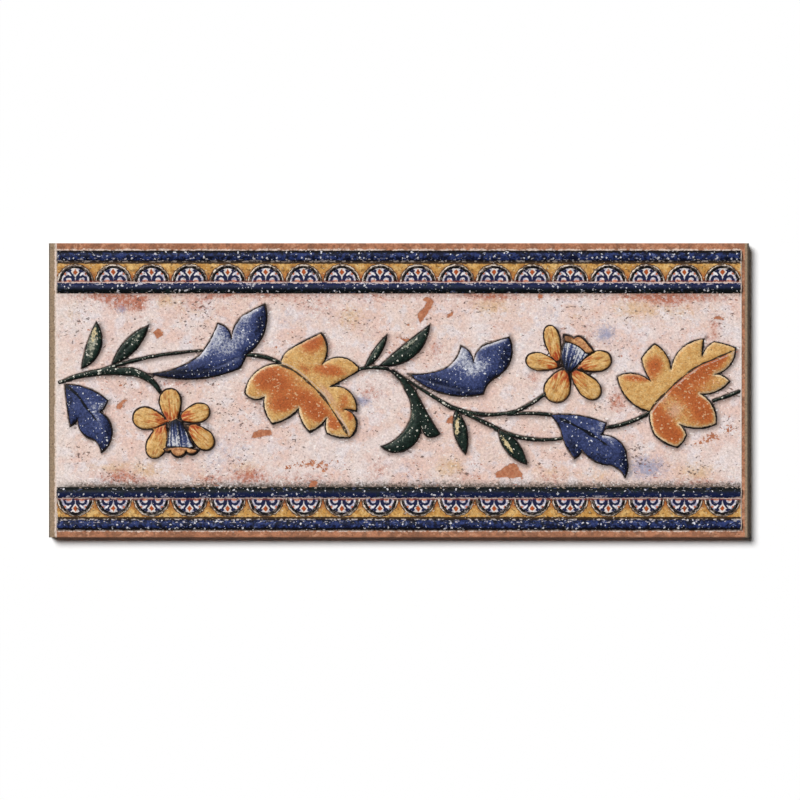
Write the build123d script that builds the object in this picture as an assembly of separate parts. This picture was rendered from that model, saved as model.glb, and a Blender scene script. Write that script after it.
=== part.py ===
from build123d import *
from math import floor, radians, tan
import os

# Moulded border tile, lying face up. Millimetres throughout: X along the length, Y across,
# Z up, origin at the middle of the back. One pressed and fired piece.

# Clay body
LENGTH = 333.0
WIDTH = 140.0
BODY = 8.0              # back to the bare margin
ARRIS = 0.6             # rounded top edge of the body
BACK_BEVEL = 0.5        # bevel round the back

# Panel: the decorated part of the face, a step above the bare margin
SIDE_MARGIN = 3.4       # bare strip along each long side
END_MARGIN = 3.6        # bare strip at each end
STEP = 0.4
ROOT = 0.3              # how far every moulded form reaches into what carries it

# Border running along each long side: outer rail, quirk, frieze, inner rail
RAIL = 5.4
RAIL_RISE = 1.3
QUIRK = 1.0
FRIEZE = 8.8
LUNETTE_GAP = 0.3       # from a lunette to the rail and to the quirk
LUNETTE_SPACE = 1.4     # least space between two lunettes
HOOP = 1.9              # width of the raised half hoop
HOOP_RISE = 0.7

# Foliage
LEAF_RISE = 1.0
STEM_RISE = 0.7
PETAL_RISE = 0.8
TRUMPET_RISE = 1.4
FRILL_RISE = 1.6
PETAL_ROUND = 0.6       # from the tip back to the widest place, of the width
PETAL_WAIST = 0.5       # where a petal swells, of the way from its foot to the widest place
PETAL_FULLNESS = 0.37   # half width there, of the width
FOLIAGE_END = 1.3       # left free between the foliage and each end of the panel
FOLIAGE_SIDE = 4.2      # left free between the foliage and the inner rails
DRAFT = 24.0            # slope of all moulded flanks, degrees from upright
MITRE_LEAST = 0.1       # keeps the flanks of a narrow notch from running far into the leaf

# Back: square key cells between lands
KEY_BORDER = 14.0
KEY_PITCH = 25.0
KEY_LAND = 3.0
KEY_DEPTH = 0.8
KEY_DRAFT = 30.0

# Levels and lines that follow from the values above
panel_z = BODY + STEP
panel_length = LENGTH - 2 * END_MARGIN
panel_half = WIDTH / 2 - SIDE_MARGIN
quirk_y = panel_half - RAIL
frieze_y = quirk_y - QUIRK
frieze_foot = frieze_y - FRIEZE
field_half = frieze_foot - RAIL

# Lobed leaves, counterclockwise: corner, point on the arc, next corner and so on, closed
BLUE_LEAVES = [
    [(-159.3, 3.1), (-158.2, -7.0), (-156.6, -17.4), (-154.6, -16.3),
     (-153.0, -14.6), (-150.3, -20.8), (-145.0, -23.7), (-142.9, -26.2), (-141.7, -29.9),
     (-136.2, -18.5), (-141.6, -10.2), (-139.5, -7.8), (-138.2, -4.8), (-147.5, 1.2)],
    [(-119.5, 8.1), (-96.0, 5.3), (-75.6, 10.3), (-73.8, 13.2), (-72.3, 16.8), (-63.3, 29.5),
     (-63.6, 41.5), (-69.4, 38.6), (-74.6, 35.8), (-78.0, 31.4), (-79.7, 26.0), (-82.3, 30.4),
     (-86.4, 32.2), (-89.8, 24.5), (-94.5, 17.4), (-105.0, 11.2)],
    [(4.0, 8.2), (27.5, -2.9), (40.2, -1.9), (42.2, 2.6), (46.4, 6.2), (53.2, 14.2), (52.4, 25.6),
     (46.5, 23.9), (40.4, 22.0), (36.9, 18.6), (35.5, 14.2), (33.0, 19.2), (29.2, 21.6), (26.8, 15.4),
     (22.0, 10.8), (13.5, 8.3)],
    [(71.2, -11.4), (74.6, -15.2), (76.8, -19.6), (79.0, -26.2), (83.4, -32.7), (85.5, -31.3),
     (87.0, -29.0), (93.2, -34.0), (101.0, -35.9), (104.8, -38.2), (107.4, -41.8), (109.0, -37.0),
     (108.5, -32.0), (104.6, -23.8), (96.8, -20.9), (98.2, -18.2), (98.8, -15.4), (84.0, -11.4)],
]

OCHRE_LEAVES = [
    [(-56.4, 13.1), (-69.2, 8.0), (-73.6, -1.0), (-69.8, -4.3), (-64.4, -3.8), (-63.8, -10.5),
     (-60.3, -16.2), (-53.0, -13.6), (-48.0, -9.6), (-46.0, -15.8), (-42.6, -20.1), (-38.2, -17.8),
     (-34.9, -14.3), (-35.3, -17.6), (-34.4, -20.6), (-29.5, -22.4), (-23.4, -22.7), (-19.9, -15.0),
     (-24.6, -9.3), (-22.2, -9.6), (-20.0, -10.3), (-23.2, -0.6), (-30.8, 2.3), (-25.2, 5.4),
     (-20.0, 8.5), (-18.8, 10.2), (-20.0, 12.0), (-28.0, 16.0), (-35.6, 13.4), (-33.9, 20.5),
     (-37.0, 27.6), (-44.5, 24.1), (-51.5, 20.2), (-54.8, 17.2)],
    [(118.8, -10.3), (119.2, -15.8), (121.0, -21.0), (126.4, -25.2), (132.3, -27.3), (135.2, -24.6),
     (136.9, -21.2), (136.1, -19.0), (134.4, -16.8), (142.8, -18.3), (151.0, -16.2), (149.2, -6.8),
     (144.6, -2.1), (152.6, 0.0), (157.5, 4.2), (155.2, 6.6), (152.0, 7.8), (158.4, 13.0),
     (160.2, 20.5), (155.2, 22.2), (150.0, 23.4), (146.6, 21.2), (144.4, 17.6), (144.6, 21.0),
     (145.3, 24.7), (133.8, 19.8), (129.3, 11.3), (126.6, 18.0), (121.4, 22.6), (117.4, 18.6),
     (115.0, 15.2), (116.4, 9.8), (118.9, 5.2), (111.2, 8.4), (103.4, 6.8), (110.0, -5.8)],
]

# Plain leaves, counterclockwise: foot, point on one side, tip, point on the other side
GREEN_LEAVES = [
    [(-151.3, 10.0), (-141.2, 22.0), (-143.9, 33.0), (-148.7, 22.0)],
    [(-136.9, 11.8), (-124.5, 19.8), (-119.0, 31.2), (-131.0, 23.0)],
    [(-17.2, 9.8), (-9.0, 16.8), (-5.6, 26.9), (-12.2, 19.4)],
    [(-9.6, 11.8), (9.6, 18.4), (14.6, 31.4), (2.0, 21.8)],
    [(26.9, -8.6), (25.8, -19.6), (31.7, -30.6), (32.6, -19.8)],
    [(46.9, -18.0), (50.2, -28.2), (60.9, -35.4), (56.8, -25.0)],
]
FORKED_LEAF = [(-7.4, 10.8), (-1.2, 6.2), (2.6, -0.2), (5.4, -7.0), (4.8, -14.2), (-0.6, -22.0),
               (-8.9, -26.6), (-5.8, -28.8), (-2.0, -29.7), (6.4, -26.6), (10.6, -18.4), (11.7, -20.6),
               (13.2, -22.3), (16.5, -22.3), (19.7, -20.7), (14.4, -12.2), (10.4, -5.0), (4.4, 4.4)]

# Stems: start, point on the way, end, then the width at each of the three
STEMS = [
    [(-161.3, 3.9), (-146.0, 8.2), (-127.0, 8.9), 1.6, 3.0, 4.2],
    [(-129.0, 9.0), (-120.2, 6.4), (-113.8, -0.4), 4.0, 3.4, 1.8],
    [(-141.0, 9.8), (-118.0, 16.0), (-93.0, 18.9), 2.0, 1.6, 1.2],
    [(-72.0, 16.8), (-64.0, 16.0), (-56.2, 12.9), 1.7, 1.9, 1.6],
    [(-18.6, 10.2), (-12.0, 11.0), (-5.6, 10.2), 1.5, 1.7, 1.7],
    [(-3.0, 9.4), (10.0, 1.0), (25.0, -8.2), 1.3, 1.5, 2.2],
    [(23.6, -7.4), (40.0, -11.4), (56.5, -9.6), 2.1, 1.8, 1.6],
    [(54.4, -10.5), (62.4, -6.4), (70.2, -1.0), 1.6, 1.7, 1.6],
    [(51.5, -11.4), (61.0, -10.9), (72.4, -11.6), 1.3, 1.6, 1.7],
    [(27.0, -8.8), (37.0, -13.4), (47.5, -18.6), 1.9, 1.9, 2.0],
    [(45.8, -18.0), (59.0, -22.5), (77.4, -22.8), 2.0, 1.9, 1.4],
    [(98.8, -17.6), (109.0, -15.2), (119.4, -10.2), 1.5, 1.8, 1.5],
    [(149.6, -4.8), (155.5, -2.8), (161.6, -0.5), 1.6, 1.8, 1.6],
]

# Petals: foot, tip, width
PETALS = [
    [(-107.2, -19.0), (-109.2, 0.5), 10.2],
    [(-109.4, -14.9), (-126.1, -12.1), 10.4],
    [(-104.2, -14.6), (-90.4, -9.2), 8.4],
    [(-110.4, -14.8), (-117.4, -31.8), 9.2],
    [(-102.2, -15.6), (-88.9, -27.2), 8.6],
    [(76.6, 12.2), (71.2, 30.5), 7.2],
    [(78.4, 11.4), (60.7, 14.9), 7.8],
    [(83.4, 10.0), (100.6, 15.4), 9.2],
    [(79.6, 11.4), (73.0, -5.1), 12.0],
    [(81.0, 11.2), (94.8, -3.2), 9.2],
]
TRUMPETS = [
    [(-109.6, -15.6), (-110.2, -20.8), (-111.4, -27.4), (-104.0, -28.4), (-96.6, -27.4), (-99.7, -20.6),
     (-102.2, -15.4), (-106.0, -13.4)],
    [(78.2, 9.9), (80.5, 8.2), (83.2, 9.4), (86.4, 12.8), (91.6, 17.0), (86.6, 21.8), (78.6, 24.0),
     (76.6, 16.0)],
]
FRILLS = [
    [(-112.9, -27.4), (-110.9, -29.6), (-108.6, -29.4), (-105.0, -32.0), (-101.0, -29.8),
     (-98.0, -30.8), (-94.9, -28.0), (-104.0, -26.3)],
    [(78.0, 26.8), (77.8, 24.6), (78.2, 22.4), (84.4, 20.6), (88.2, 17.4), (91.0, 17.0), (93.4, 18.2),
     (89.6, 23.2), (87.6, 25.4), (85.6, 26.2), (83.2, 25.4), (80.6, 26.6)],
]


drawing = [p for points in BLUE_LEAVES + OCHRE_LEAVES + GREEN_LEAVES + [FORKED_LEAF] for p in points]
drawing += [p for stem in STEMS for p in stem[:3]]
reach_x = max(abs(p[0]) for p in drawing)
reach_y = max(abs(p[1]) for p in drawing)


def at(point):
    """A point of the drawing, fitted to the field."""
    x = point[0] * (panel_length / 2 - FOLIAGE_END) / reach_x
    y = point[1] * (field_half - FOLIAGE_SIDE) / reach_y
    return (x, y)


def arcs_of(points):
    """The arcs of a closed chain: corner, point on the arc, corner and so on."""
    count = len(points)
    return [ThreePointArc(points[i], points[i + 1], points[(i + 2) % count]) for i in range(0, count, 2)]


def left_of(direction):
    """Unit vector square to a direction, to its left."""
    return Vector(-direction.Y, direction.X).normalized()


def drawn_in(points, distance):
    """A counterclockwise outline moved inwards, its corners mitred."""
    arcs = arcs_of(points)
    moved = []
    for i, arc in enumerate(arcs):
        before = left_of(arcs[i - 1] % 1)
        after = left_of(arc % 0)
        mitre = max(1 + before.dot(after), MITRE_LEAST)
        moved.append(arc @ 0 + (before + after) * (distance / mitre))
        moved.append(arc @ 0.5 + left_of(arc % 0.5) * distance)
    return moved


def moulded(points, rise):
    """Raised form with sloping flanks, standing on the panel and rooted in it."""
    foot = make_face(arcs_of(drawn_in(points, -ROOT * tan(radians(DRAFT)))))
    top = make_face(arcs_of(drawn_in(points, rise * tan(radians(DRAFT)))))
    return loft([Pos(0, 0, panel_z - ROOT) * foot, Pos(0, 0, panel_z + rise) * top], ruled=True)


def stem_outline(start, middle, end, start_width, middle_width, end_width):
    """Ribbon between two arcs, with round ends."""
    start, middle, end = Vector(*start), Vector(*middle), Vector(*end)
    start_left = left_of(middle - start)
    middle_left = left_of(end - start)
    end_left = left_of(end - middle)
    start_cap = start - (middle - start).normalized() * (start_width / 2)
    end_cap = end + (end - middle).normalized() * (end_width / 2)
    return [start - start_left * (start_width / 2), middle - middle_left * (middle_width / 2),
            end - end_left * (end_width / 2), end_cap,
            end + end_left * (end_width / 2), middle + middle_left * (middle_width / 2),
            start + start_left * (start_width / 2), start_cap]


def petal_outline(foot, tip, width):
    """Oval petal, narrow at the foot and widest towards the tip."""
    foot, tip = Vector(*foot), Vector(*tip)
    way = (tip - foot).normalized()
    left = left_of(way)
    shoulder = tip - way * (width * PETAL_ROUND)
    waist = foot + (shoulder - foot) * PETAL_WAIST
    return [foot, waist - left * (width * PETAL_FULLNESS), shoulder - left * (width / 2), tip,
            shoulder + left * (width / 2), waist + left * (width * PETAL_FULLNESS)]


# Body with its arris
body = Pos(0, 0, BODY / 2) * Box(LENGTH, WIDTH, BODY)
body = fillet(body.faces().sort_by(Axis.Z)[-1].edges(), ARRIS)
body = chamfer(body.faces().sort_by(Axis.Z)[0].edges(), BACK_BEVEL)

# Panel: half of its section across the tile, mirrored and drawn out along the length
rail_z = panel_z + RAIL_RISE
half_section = make_face([
    Line((0, BODY - ROOT), (0, panel_z)),
    Line((0, panel_z), (field_half, panel_z)),
    ThreePointArc((field_half, panel_z), (field_half + RAIL / 2, rail_z), (frieze_foot, panel_z)),
    Line((frieze_foot, panel_z), (quirk_y, panel_z)),
    ThreePointArc((quirk_y, panel_z), (quirk_y + RAIL / 2, rail_z), (panel_half, panel_z)),
    Line((panel_half, panel_z), (panel_half, BODY - ROOT)),
    Line((panel_half, BODY - ROOT), (0, BODY - ROOT)),
])
half_panel = extrude(Plane.YZ * half_section, amount=panel_length / 2, both=True)
panel = half_panel + mirror(half_panel, Plane.XZ)

# Half hoops of the friezes, standing on the inner rails
lunette_radius = FRIEZE - 2 * LUNETTE_GAP
lunette_count = floor(panel_length / (2 * lunette_radius + LUNETTE_SPACE))
lunette_pitch = panel_length / lunette_count
inner_radius = lunette_radius - HOOP
hoop_face = make_face([
    ThreePointArc((lunette_radius, 0), (0, lunette_radius), (-lunette_radius, 0)),
    Line((-lunette_radius, 0), (-inner_radius, 0)),
    ThreePointArc((-inner_radius, 0), (0, inner_radius), (inner_radius, 0)),
    Line((inner_radius, 0), (lunette_radius, 0)),
])
hoop = extrude(Pos(0, 0, panel_z - ROOT) * hoop_face, amount=ROOT + HOOP_RISE, taper=DRAFT)
hoops = []
for i in range(lunette_count):
    x = (i + 0.5) * lunette_pitch - panel_length / 2
    hoops.append(Pos(x, frieze_foot + LUNETTE_GAP, 0) * hoop)
    hoops.append(Pos(x, -frieze_foot - LUNETTE_GAP, 0) * Rot(0, 0, 180) * hoop)

# Foliage
foliage = []
for points in BLUE_LEAVES + OCHRE_LEAVES + GREEN_LEAVES + [FORKED_LEAF]:
    foliage.append(moulded([at(p) for p in points], LEAF_RISE))
for start, middle, end, start_width, middle_width, end_width in STEMS:
    points = stem_outline(at(start), at(middle), at(end), start_width, middle_width, end_width)
    foliage.append(moulded(points, STEM_RISE))
for foot, tip, width in PETALS:
    foliage.append(moulded(petal_outline(at(foot), at(tip), width), PETAL_RISE))
for points in TRUMPETS:
    foliage.append(moulded([at(p) for p in points], TRUMPET_RISE))
for points in FRILLS:
    foliage.append(moulded([at(p) for p in points], FRILL_RISE))

# Key cells in the back, an even number each way so that two lands cross at the middle
key_length = LENGTH - 2 * KEY_BORDER
key_width = WIDTH - 2 * KEY_BORDER
columns = 2 * floor(key_length / KEY_PITCH / 2)
rows = 2 * floor(key_width / KEY_PITCH / 2)
cell = extrude(Rectangle(key_length / columns - KEY_LAND, key_width / rows - KEY_LAND),
               amount=KEY_DEPTH, taper=KEY_DRAFT)
cells = [place * cell for place in GridLocations(key_length / columns, key_width / rows, columns, rows)]

tile = (body + [panel] + hoops + foliage) - cells
tile.label = "tile"

os.makedirs("parts", exist_ok=True)
export_step(tile, "parts/tile.step")
box = tile.bounding_box()
print("tile", box.size, "solids", len(tile.solids()), "valid", tile.is_valid, "volume", tile.volume)
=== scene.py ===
# %% [markdown]
# # A moulded border tile in Blender
# The object is one pressed clay tile, glazed, painted and fired: bead rails, friezes of half hoops, and a
# branch of leaves and flowers standing out of a cream ground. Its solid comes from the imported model, which
# loads as a fixed frame. This lesson turns a copy of that solid into a finer mesh, plans the painting as
# values stored on its points, and lets materials made of nodes draw the glazes.

# %% Load the frame
import math

import bmesh
import bpy
import numpy as np
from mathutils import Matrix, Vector, kdtree


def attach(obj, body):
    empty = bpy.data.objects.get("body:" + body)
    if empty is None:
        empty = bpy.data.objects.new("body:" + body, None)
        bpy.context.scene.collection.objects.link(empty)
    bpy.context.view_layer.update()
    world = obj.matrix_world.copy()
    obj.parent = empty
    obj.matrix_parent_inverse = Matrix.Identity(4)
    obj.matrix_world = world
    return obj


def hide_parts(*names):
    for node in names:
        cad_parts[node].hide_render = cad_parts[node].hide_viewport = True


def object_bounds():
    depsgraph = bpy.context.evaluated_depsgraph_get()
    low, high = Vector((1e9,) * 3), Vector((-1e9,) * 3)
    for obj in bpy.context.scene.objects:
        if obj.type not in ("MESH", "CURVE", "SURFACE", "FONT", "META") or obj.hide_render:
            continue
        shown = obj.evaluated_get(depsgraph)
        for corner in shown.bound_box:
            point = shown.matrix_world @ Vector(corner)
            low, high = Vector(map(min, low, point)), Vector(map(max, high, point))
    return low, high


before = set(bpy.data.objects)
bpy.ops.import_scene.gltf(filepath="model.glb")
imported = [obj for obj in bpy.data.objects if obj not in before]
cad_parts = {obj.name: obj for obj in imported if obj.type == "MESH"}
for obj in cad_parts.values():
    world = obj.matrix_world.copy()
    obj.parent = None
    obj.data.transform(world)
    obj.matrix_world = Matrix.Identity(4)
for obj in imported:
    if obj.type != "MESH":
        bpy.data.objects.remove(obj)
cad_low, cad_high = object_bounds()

MM = 0.001
tile_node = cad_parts["tile"]
print("frame:", len(tile_node.data.polygons), "triangles, size", [round(v, 4) for v in cad_high - cad_low])

# %% [markdown]
# ## The studio
# The tile lies on white paper and is seen from straight above through a long lens. One large soft lamp
# stands up to the left, so a short shadow falls to the right and below. Lamp and sky together come to a
# plain level: a colour renders about as it is written. The paper is white by its own colour and keeps the
# shadow. For a look at the back, it lets the camera and a second lamp through from underneath, where
# nothing else is lit by them.

# %% Camera and light
scene = bpy.context.scene
scene.view_settings.view_transform = "Standard"

FRAME_WIDTH = 380.2 * MM
FRAME_MIDDLE = Vector((0.5, -4.6, 9.0)) * MM
LAMP_WAY = Vector((0.467, -0.467, -1.0))
LAMP_LEVEL = 3.67
BACK_LEVEL = 2.2
SKY_LEVEL = 0.025
camera_data = bpy.data.cameras.new("copy_stand_camera")
camera_data.lens = 150.0
camera_data.sensor_width = 36.0
camera_height = FRAME_WIDTH * camera_data.lens / camera_data.sensor_width
camera = bpy.data.objects.new("copy_stand_camera", camera_data)
camera.location = FRAME_MIDDLE + Vector((0, 0, camera_height))
scene.collection.objects.link(camera)
scene.camera = camera

lamp_data = bpy.data.lights.new("soft_lamp", "SUN")
lamp_data.energy = LAMP_LEVEL
lamp_data.angle = math.radians(25)
lamp = bpy.data.objects.new("soft_lamp", lamp_data)
lamp.rotation_euler = LAMP_WAY.to_track_quat("-Z", "Y").to_euler()
scene.collection.objects.link(lamp)

world = bpy.data.worlds.new("studio_sky")
scene.world = world
world.use_nodes = True
sky = world.node_tree.nodes["Background"]
sky.inputs["Color"].default_value = (1.0, 1.0, 1.0, 1.0)
path = world.node_tree.nodes.new("ShaderNodeLightPath")
level = world.node_tree.nodes.new("ShaderNodeMapRange")
level.inputs["To Min"].default_value = SKY_LEVEL
level.inputs["To Max"].default_value = 1.0
world.node_tree.links.new(path.outputs["Is Camera Ray"], level.inputs["Value"])
world.node_tree.links.new(level.outputs["Result"], sky.inputs["Strength"])
back_data = bpy.data.lights.new("back_lamp", "SUN")
back_data.energy = BACK_LEVEL
back_lamp = bpy.data.objects.new("back_lamp", back_data)
back_lamp.rotation_euler = (math.pi, 0, 0)
scene.collection.objects.link(back_lamp)
print("camera at", [round(v, 3) for v in camera.location])

# %% White paper
PAPER_GAP = 0.02 * MM
paper_bm = bmesh.new()
bmesh.ops.create_grid(paper_bm, x_segments=1, y_segments=1, size=2.0)
bmesh.ops.translate(paper_bm, vec=(0, 0, -PAPER_GAP), verts=paper_bm.verts)
paper_mesh = bpy.data.meshes.new("white_paper")
paper_bm.to_mesh(paper_mesh)
paper_bm.free()
paper = bpy.data.objects.new("white_paper", paper_mesh)
scene.collection.objects.link(paper)

paper_look = bpy.data.materials.new("white_paper")
paper_look.use_nodes = True
paper_tree = paper_look.node_tree
paper_tree.nodes.clear()
paper_out = paper_tree.nodes.new("ShaderNodeOutputMaterial")
paper_white = paper_tree.nodes.new("ShaderNodeBsdfDiffuse")
paper_white.inputs["Color"].default_value = (1.0, 1.0, 1.0, 1.0)
paper_clear = paper_tree.nodes.new("ShaderNodeBsdfTransparent")
paper_side = paper_tree.nodes.new("ShaderNodeNewGeometry")
paper_mix = paper_tree.nodes.new("ShaderNodeMixShader")
paper_rays = paper_tree.nodes.new("ShaderNodeLightPath")
paper_open = paper_tree.nodes.new("ShaderNodeMath")
paper_open.operation = "MAXIMUM"
paper_tree.links.new(paper_side.outputs["Backfacing"], paper_open.inputs[0])
paper_tree.links.new(paper_rays.outputs["Is Shadow Ray"], paper_open.inputs[1])
paper_tree.links.new(paper_open.outputs[0], paper_mix.inputs[0])
paper_tree.links.new(paper_white.outputs[0], paper_mix.inputs[1])
paper_tree.links.new(paper_clear.outputs[0], paper_mix.inputs[2])
paper_tree.links.new(paper_mix.outputs[0], paper_out.inputs["Surface"])
paper_mesh.materials.append(paper_look)
print("paper laid", PAPER_GAP / MM, "mm under the tile")

# %% [markdown]
# ## A finer skin for the tile
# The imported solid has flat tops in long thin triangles: right in outline, but with no points inside to bend
# or to paint on. A remesh would round off the crisp edges. So a copy is merged, its flat regions are
# dissolved back to whole faces, and planes cut them into small cells, first along the length and then
# across. Every edge of the solid stays where it was.

# %% Copy, merge and dissolve
WELD = 0.002 * MM


def open_edges(bm):
    return sum(1 for e in bm.edges if not e.is_manifold)


relief = bmesh.new()
relief.from_mesh(tile_node.data)
bmesh.ops.remove_doubles(relief, verts=relief.verts, dist=WELD)
bmesh.ops.dissolve_limit(relief, angle_limit=math.radians(0.4), verts=relief.verts, edges=relief.edges)
print("dissolved to", len(relief.faces), "faces,", open_edges(relief), "open edges")

# %% Cut the face into cells
CELL = 1.2 * MM
MARGIN_Z = 8.0 * MM
FIRST_X, LAST_X = -166.13 * MM, 166.4 * MM
FIRST_Y, LAST_Y = -69.67 * MM, 69.9 * MM


def cut_cells(bm, faces, axis, start, stop, pitch):
    """Bisects the faces with planes square to an axis, going on with what lies ahead of each plane."""
    normal = Vector((0, 0, 0))
    normal[axis] = 1.0
    ahead = list(faces)
    place = start
    while place < stop and ahead:
        parts = set(ahead)
        for f in ahead:
            parts.update(f.edges)
            parts.update(f.verts)
        made = bmesh.ops.bisect_plane(bm, geom=list(parts), dist=0.01 * MM, plane_co=normal * place,
                                      plane_no=normal)
        kept = [g for g in made["geom"] if isinstance(g, bmesh.types.BMFace)]
        ahead = [f for f in kept if max(v.co[axis] for v in f.verts) > place + 0.02 * MM]
        place += pitch


def faces_up(bm):
    return [f for f in bm.faces if f.normal.z > 0.5 and f.calc_center_median().z > MARGIN_Z - 0.01 * MM]


cut_cells(relief, faces_up(relief), 0, FIRST_X, LAST_X, CELL)
flat_up = [f for f in faces_up(relief) if f.normal.z > 0.999]
cut_cells(relief, flat_up, 1, FIRST_Y, LAST_Y, CELL)
print("cut into", len(relief.faces), "faces,", open_edges(relief), "open edges")

# %% [markdown]
# ## Which glaze goes where
# A painter knows the forms by sight. Here they are known by their height: every flat top of the mould lies
# on a level of its own kind, and touching faces of one level make one island. Leaves share a level, so a
# leaf is told by the heart of its drawing. The tops of the foliage are subdivided once more, because they
# will be crowned.

# %% Find the islands
GROUND_LEVEL, HOOP_LEVEL, LEAF_LEVEL = 8.4, 9.1, 9.4
LEVELS = {9.1: "stem", 9.2: "petal", 9.4: "leaf", 9.8: "trumpet", 10.0: "frill"}
FIELD_HALF = 46.0
FRIEZE_FOOT = 51.4
QUIRK_Y = 61.2
PANEL_HALF = 66.6
PANEL_END = 162.9


def level_of(face):
    """Level in millimetres of a flat face that looks up, rounded to a tenth."""
    if face.normal.z < 0.999:
        return None
    return round(face.verts[0].co.z / MM, 1)


def foliage_tops(bm):
    limit = (FIELD_HALF - 0.5) * MM
    return [f for f in bm.faces if abs(f.verts[0].co.y) < limit and level_of(f) in LEVELS]


def islands_of(faces):
    """Groups faces that touch along edges and lie on one level."""
    waiting = {f: level_of(f) for f in faces}
    groups = []
    while waiting:
        seed, level = waiting.popitem()
        group = [seed]
        for f in group:
            for e in f.edges:
                for other in e.link_faces:
                    if waiting.get(other) == level:
                        del waiting[other]
                        group.append(other)
        groups.append((level, group))
    return groups


top_edges = {e for f in foliage_tops(relief) for e in f.edges}
bmesh.ops.subdivide_edges(relief, edges=list(top_edges), cuts=1, use_grid_fill=True)
islands = islands_of(foliage_tops(relief))
print(len(islands), "islands of foliage in", len(relief.faces), "faces")

# %% [markdown]
# ## Distances for the brush
# A contour line, a shaded rim and a crowned leaf all ask the same question: how far is this point from the
# outline? A search tree over points along the rims answers it. On a top the distance is to its own rim, and
# on the cream ground to the foot of the nearest motif. The painted light also asks which way that outline
# looks: towards the lamp the line is thin with a pale rim, and away from it stand the dark side and a soft
# shade on the ground. Each island also gets its name here.

# %% Outlines and the names of islands
HEARTS = {
    "blue": [(-146.7, -11.2), (-82.3, 19.9), (33.8, 9.4), (91.1, -23.9)],
    "ochre": [(-43.1, 0.8), (132.5, 1.1)],
}
HEART_REACH = 4.0
FAR = 12.0
LAMP_SIDE = Vector((-0.7071, 0.7071))


def outline_tree(edges, members, step=0.25 * MM):
    """Search tree over points along an outline, and how much the flank at each looks to the lamp."""
    points = []
    looks = []
    # In a fixed order, because a corner lies on two edges
    for e in sorted(edges, key=lambda e: tuple(e.verts[0].co + e.verts[1].co)):
        flank = next(f for f in e.link_faces if f not in members)
        across = flank.normal.xy
        look = across.normalized().dot(LAMP_SIDE) if across.length > 0.01 else 0.0
        start, end = e.verts[0].co, e.verts[1].co
        count = max(1, round((end - start).length / step))
        points += [start.lerp(end, i / count) for i in range(count + 1)]
        looks += [look] * (count + 1)
    tree = kdtree.KDTree(len(points))
    for i, point in enumerate(points):
        tree.insert(point, i)
    tree.balance()
    return tree, looks


def rim_of(members):
    """Edges between a set of faces and the rest."""
    return {e for f in members for e in f.edges if any(other not in members for other in e.link_faces)}


def middle_of(group):
    area = sum(f.calc_area() for f in group)
    return sum((f.calc_center_median() * f.calc_area() for f in group), Vector()) / area / MM


def kind_of(level, middle):
    if level != LEAF_LEVEL:
        return LEVELS[level]
    for kind, hearts in HEARTS.items():
        if any(math.hypot(middle.x - x, middle.y - y) < HEART_REACH for x, y in hearts):
            return kind
    return "green"


print("hearts:", {kind: len(hearts) for kind, hearts in HEARTS.items()})

# %% Measure from the rims
relief.verts.index_update()
count = len(relief.verts)
edge_mm = np.full(count, FAR)
lit = np.zeros(count)
motifs = []
rims = set()
for level, group in islands:
    members = set(group)
    rim = rim_of(members)
    rims |= rim
    tree, looks = outline_tree(rim, members)
    points = {v for f in group for v in f.verts}
    for v in points:
        spot, at, gap = tree.find(v.co)
        edge_mm[v.index] = gap / MM
        lit[v.index] = looks[at]
    middle = middle_of(group)
    motifs.append({"kind": kind_of(level, middle), "level": level, "faces": group, "middle": middle,
                   "points": np.array(sorted(v.index for v in points))})
print(len(motifs), "motifs measured")

# %% Measure on the ground
ground = [f for f in relief.faces if level_of(f) == GROUND_LEVEL
          and abs(f.calc_center_median().y) < FIELD_HALF * MM]
ground_set = set(ground)
feet = set()
for e in rim_of(ground_set):
    y = max(abs(v.co.y) for v in e.verts) / MM
    x = min(abs(v.co.x) for v in e.verts) / MM
    if y < FIELD_HALF - 0.1 and x < PANEL_END - 0.1:
        feet.add(e)
foot_tree, foot_looks = outline_tree(feet, ground_set)
ground_points = np.array(sorted({v.index for f in ground for v in f.verts}))
relief.verts.ensure_lookup_table()
for i in ground_points:
    spot, at, gap = foot_tree.find(relief.verts[i].co)
    edge_mm[i] = gap / MM
    lit[i] = foot_looks[at]
hoop_groups = islands_of([f for f in relief.faces if level_of(f) == HOOP_LEVEL
                          and FRIEZE_FOOT < abs(f.calc_center_median().y) / MM < QUIRK_Y])
print(len(hoop_groups), "hoops;", {k: sum(m["kind"] == k for m in motifs) for k in
                                   ("blue", "ochre", "green", "stem", "petal", "trumpet", "frill")})

# %% [markdown]
# ## The drawing inside the outlines
# What a brush would add is written down as a few lines and soft dabs in millimetres of the tile: the midrib
# of each leaf, pale and deep washes, the axis of each petal. A dab is an oval that fades out like airbrush.

# %% Brushes: lines and dabs
spots = np.array([(v.co.x, v.co.y) for v in relief.verts]) / MM
grain = np.zeros((count, 3))
grain[:, 2] = lit
wash = np.zeros((count, 3))


def smooth_line(points, steps=6):
    """Curve through the points, each stretch in steps."""
    p = np.array(points, float)
    p = np.vstack([2 * p[0] - p[1], p, 2 * p[-1] - p[-2]])
    t = np.linspace(0, 1, steps, endpoint=False)[:, None]
    bits = []
    for a, b, c, d in zip(p, p[1:], p[2:], p[3:]):
        bend = (2 * a - 5 * b + 4 * c - d) * t ** 2 + (3 * b - a - 3 * c + d) * t ** 3
        bits.append(0.5 * (2 * b + (c - a) * t + bend))
    return np.vstack(bits + [p[-2:-1]])


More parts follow.
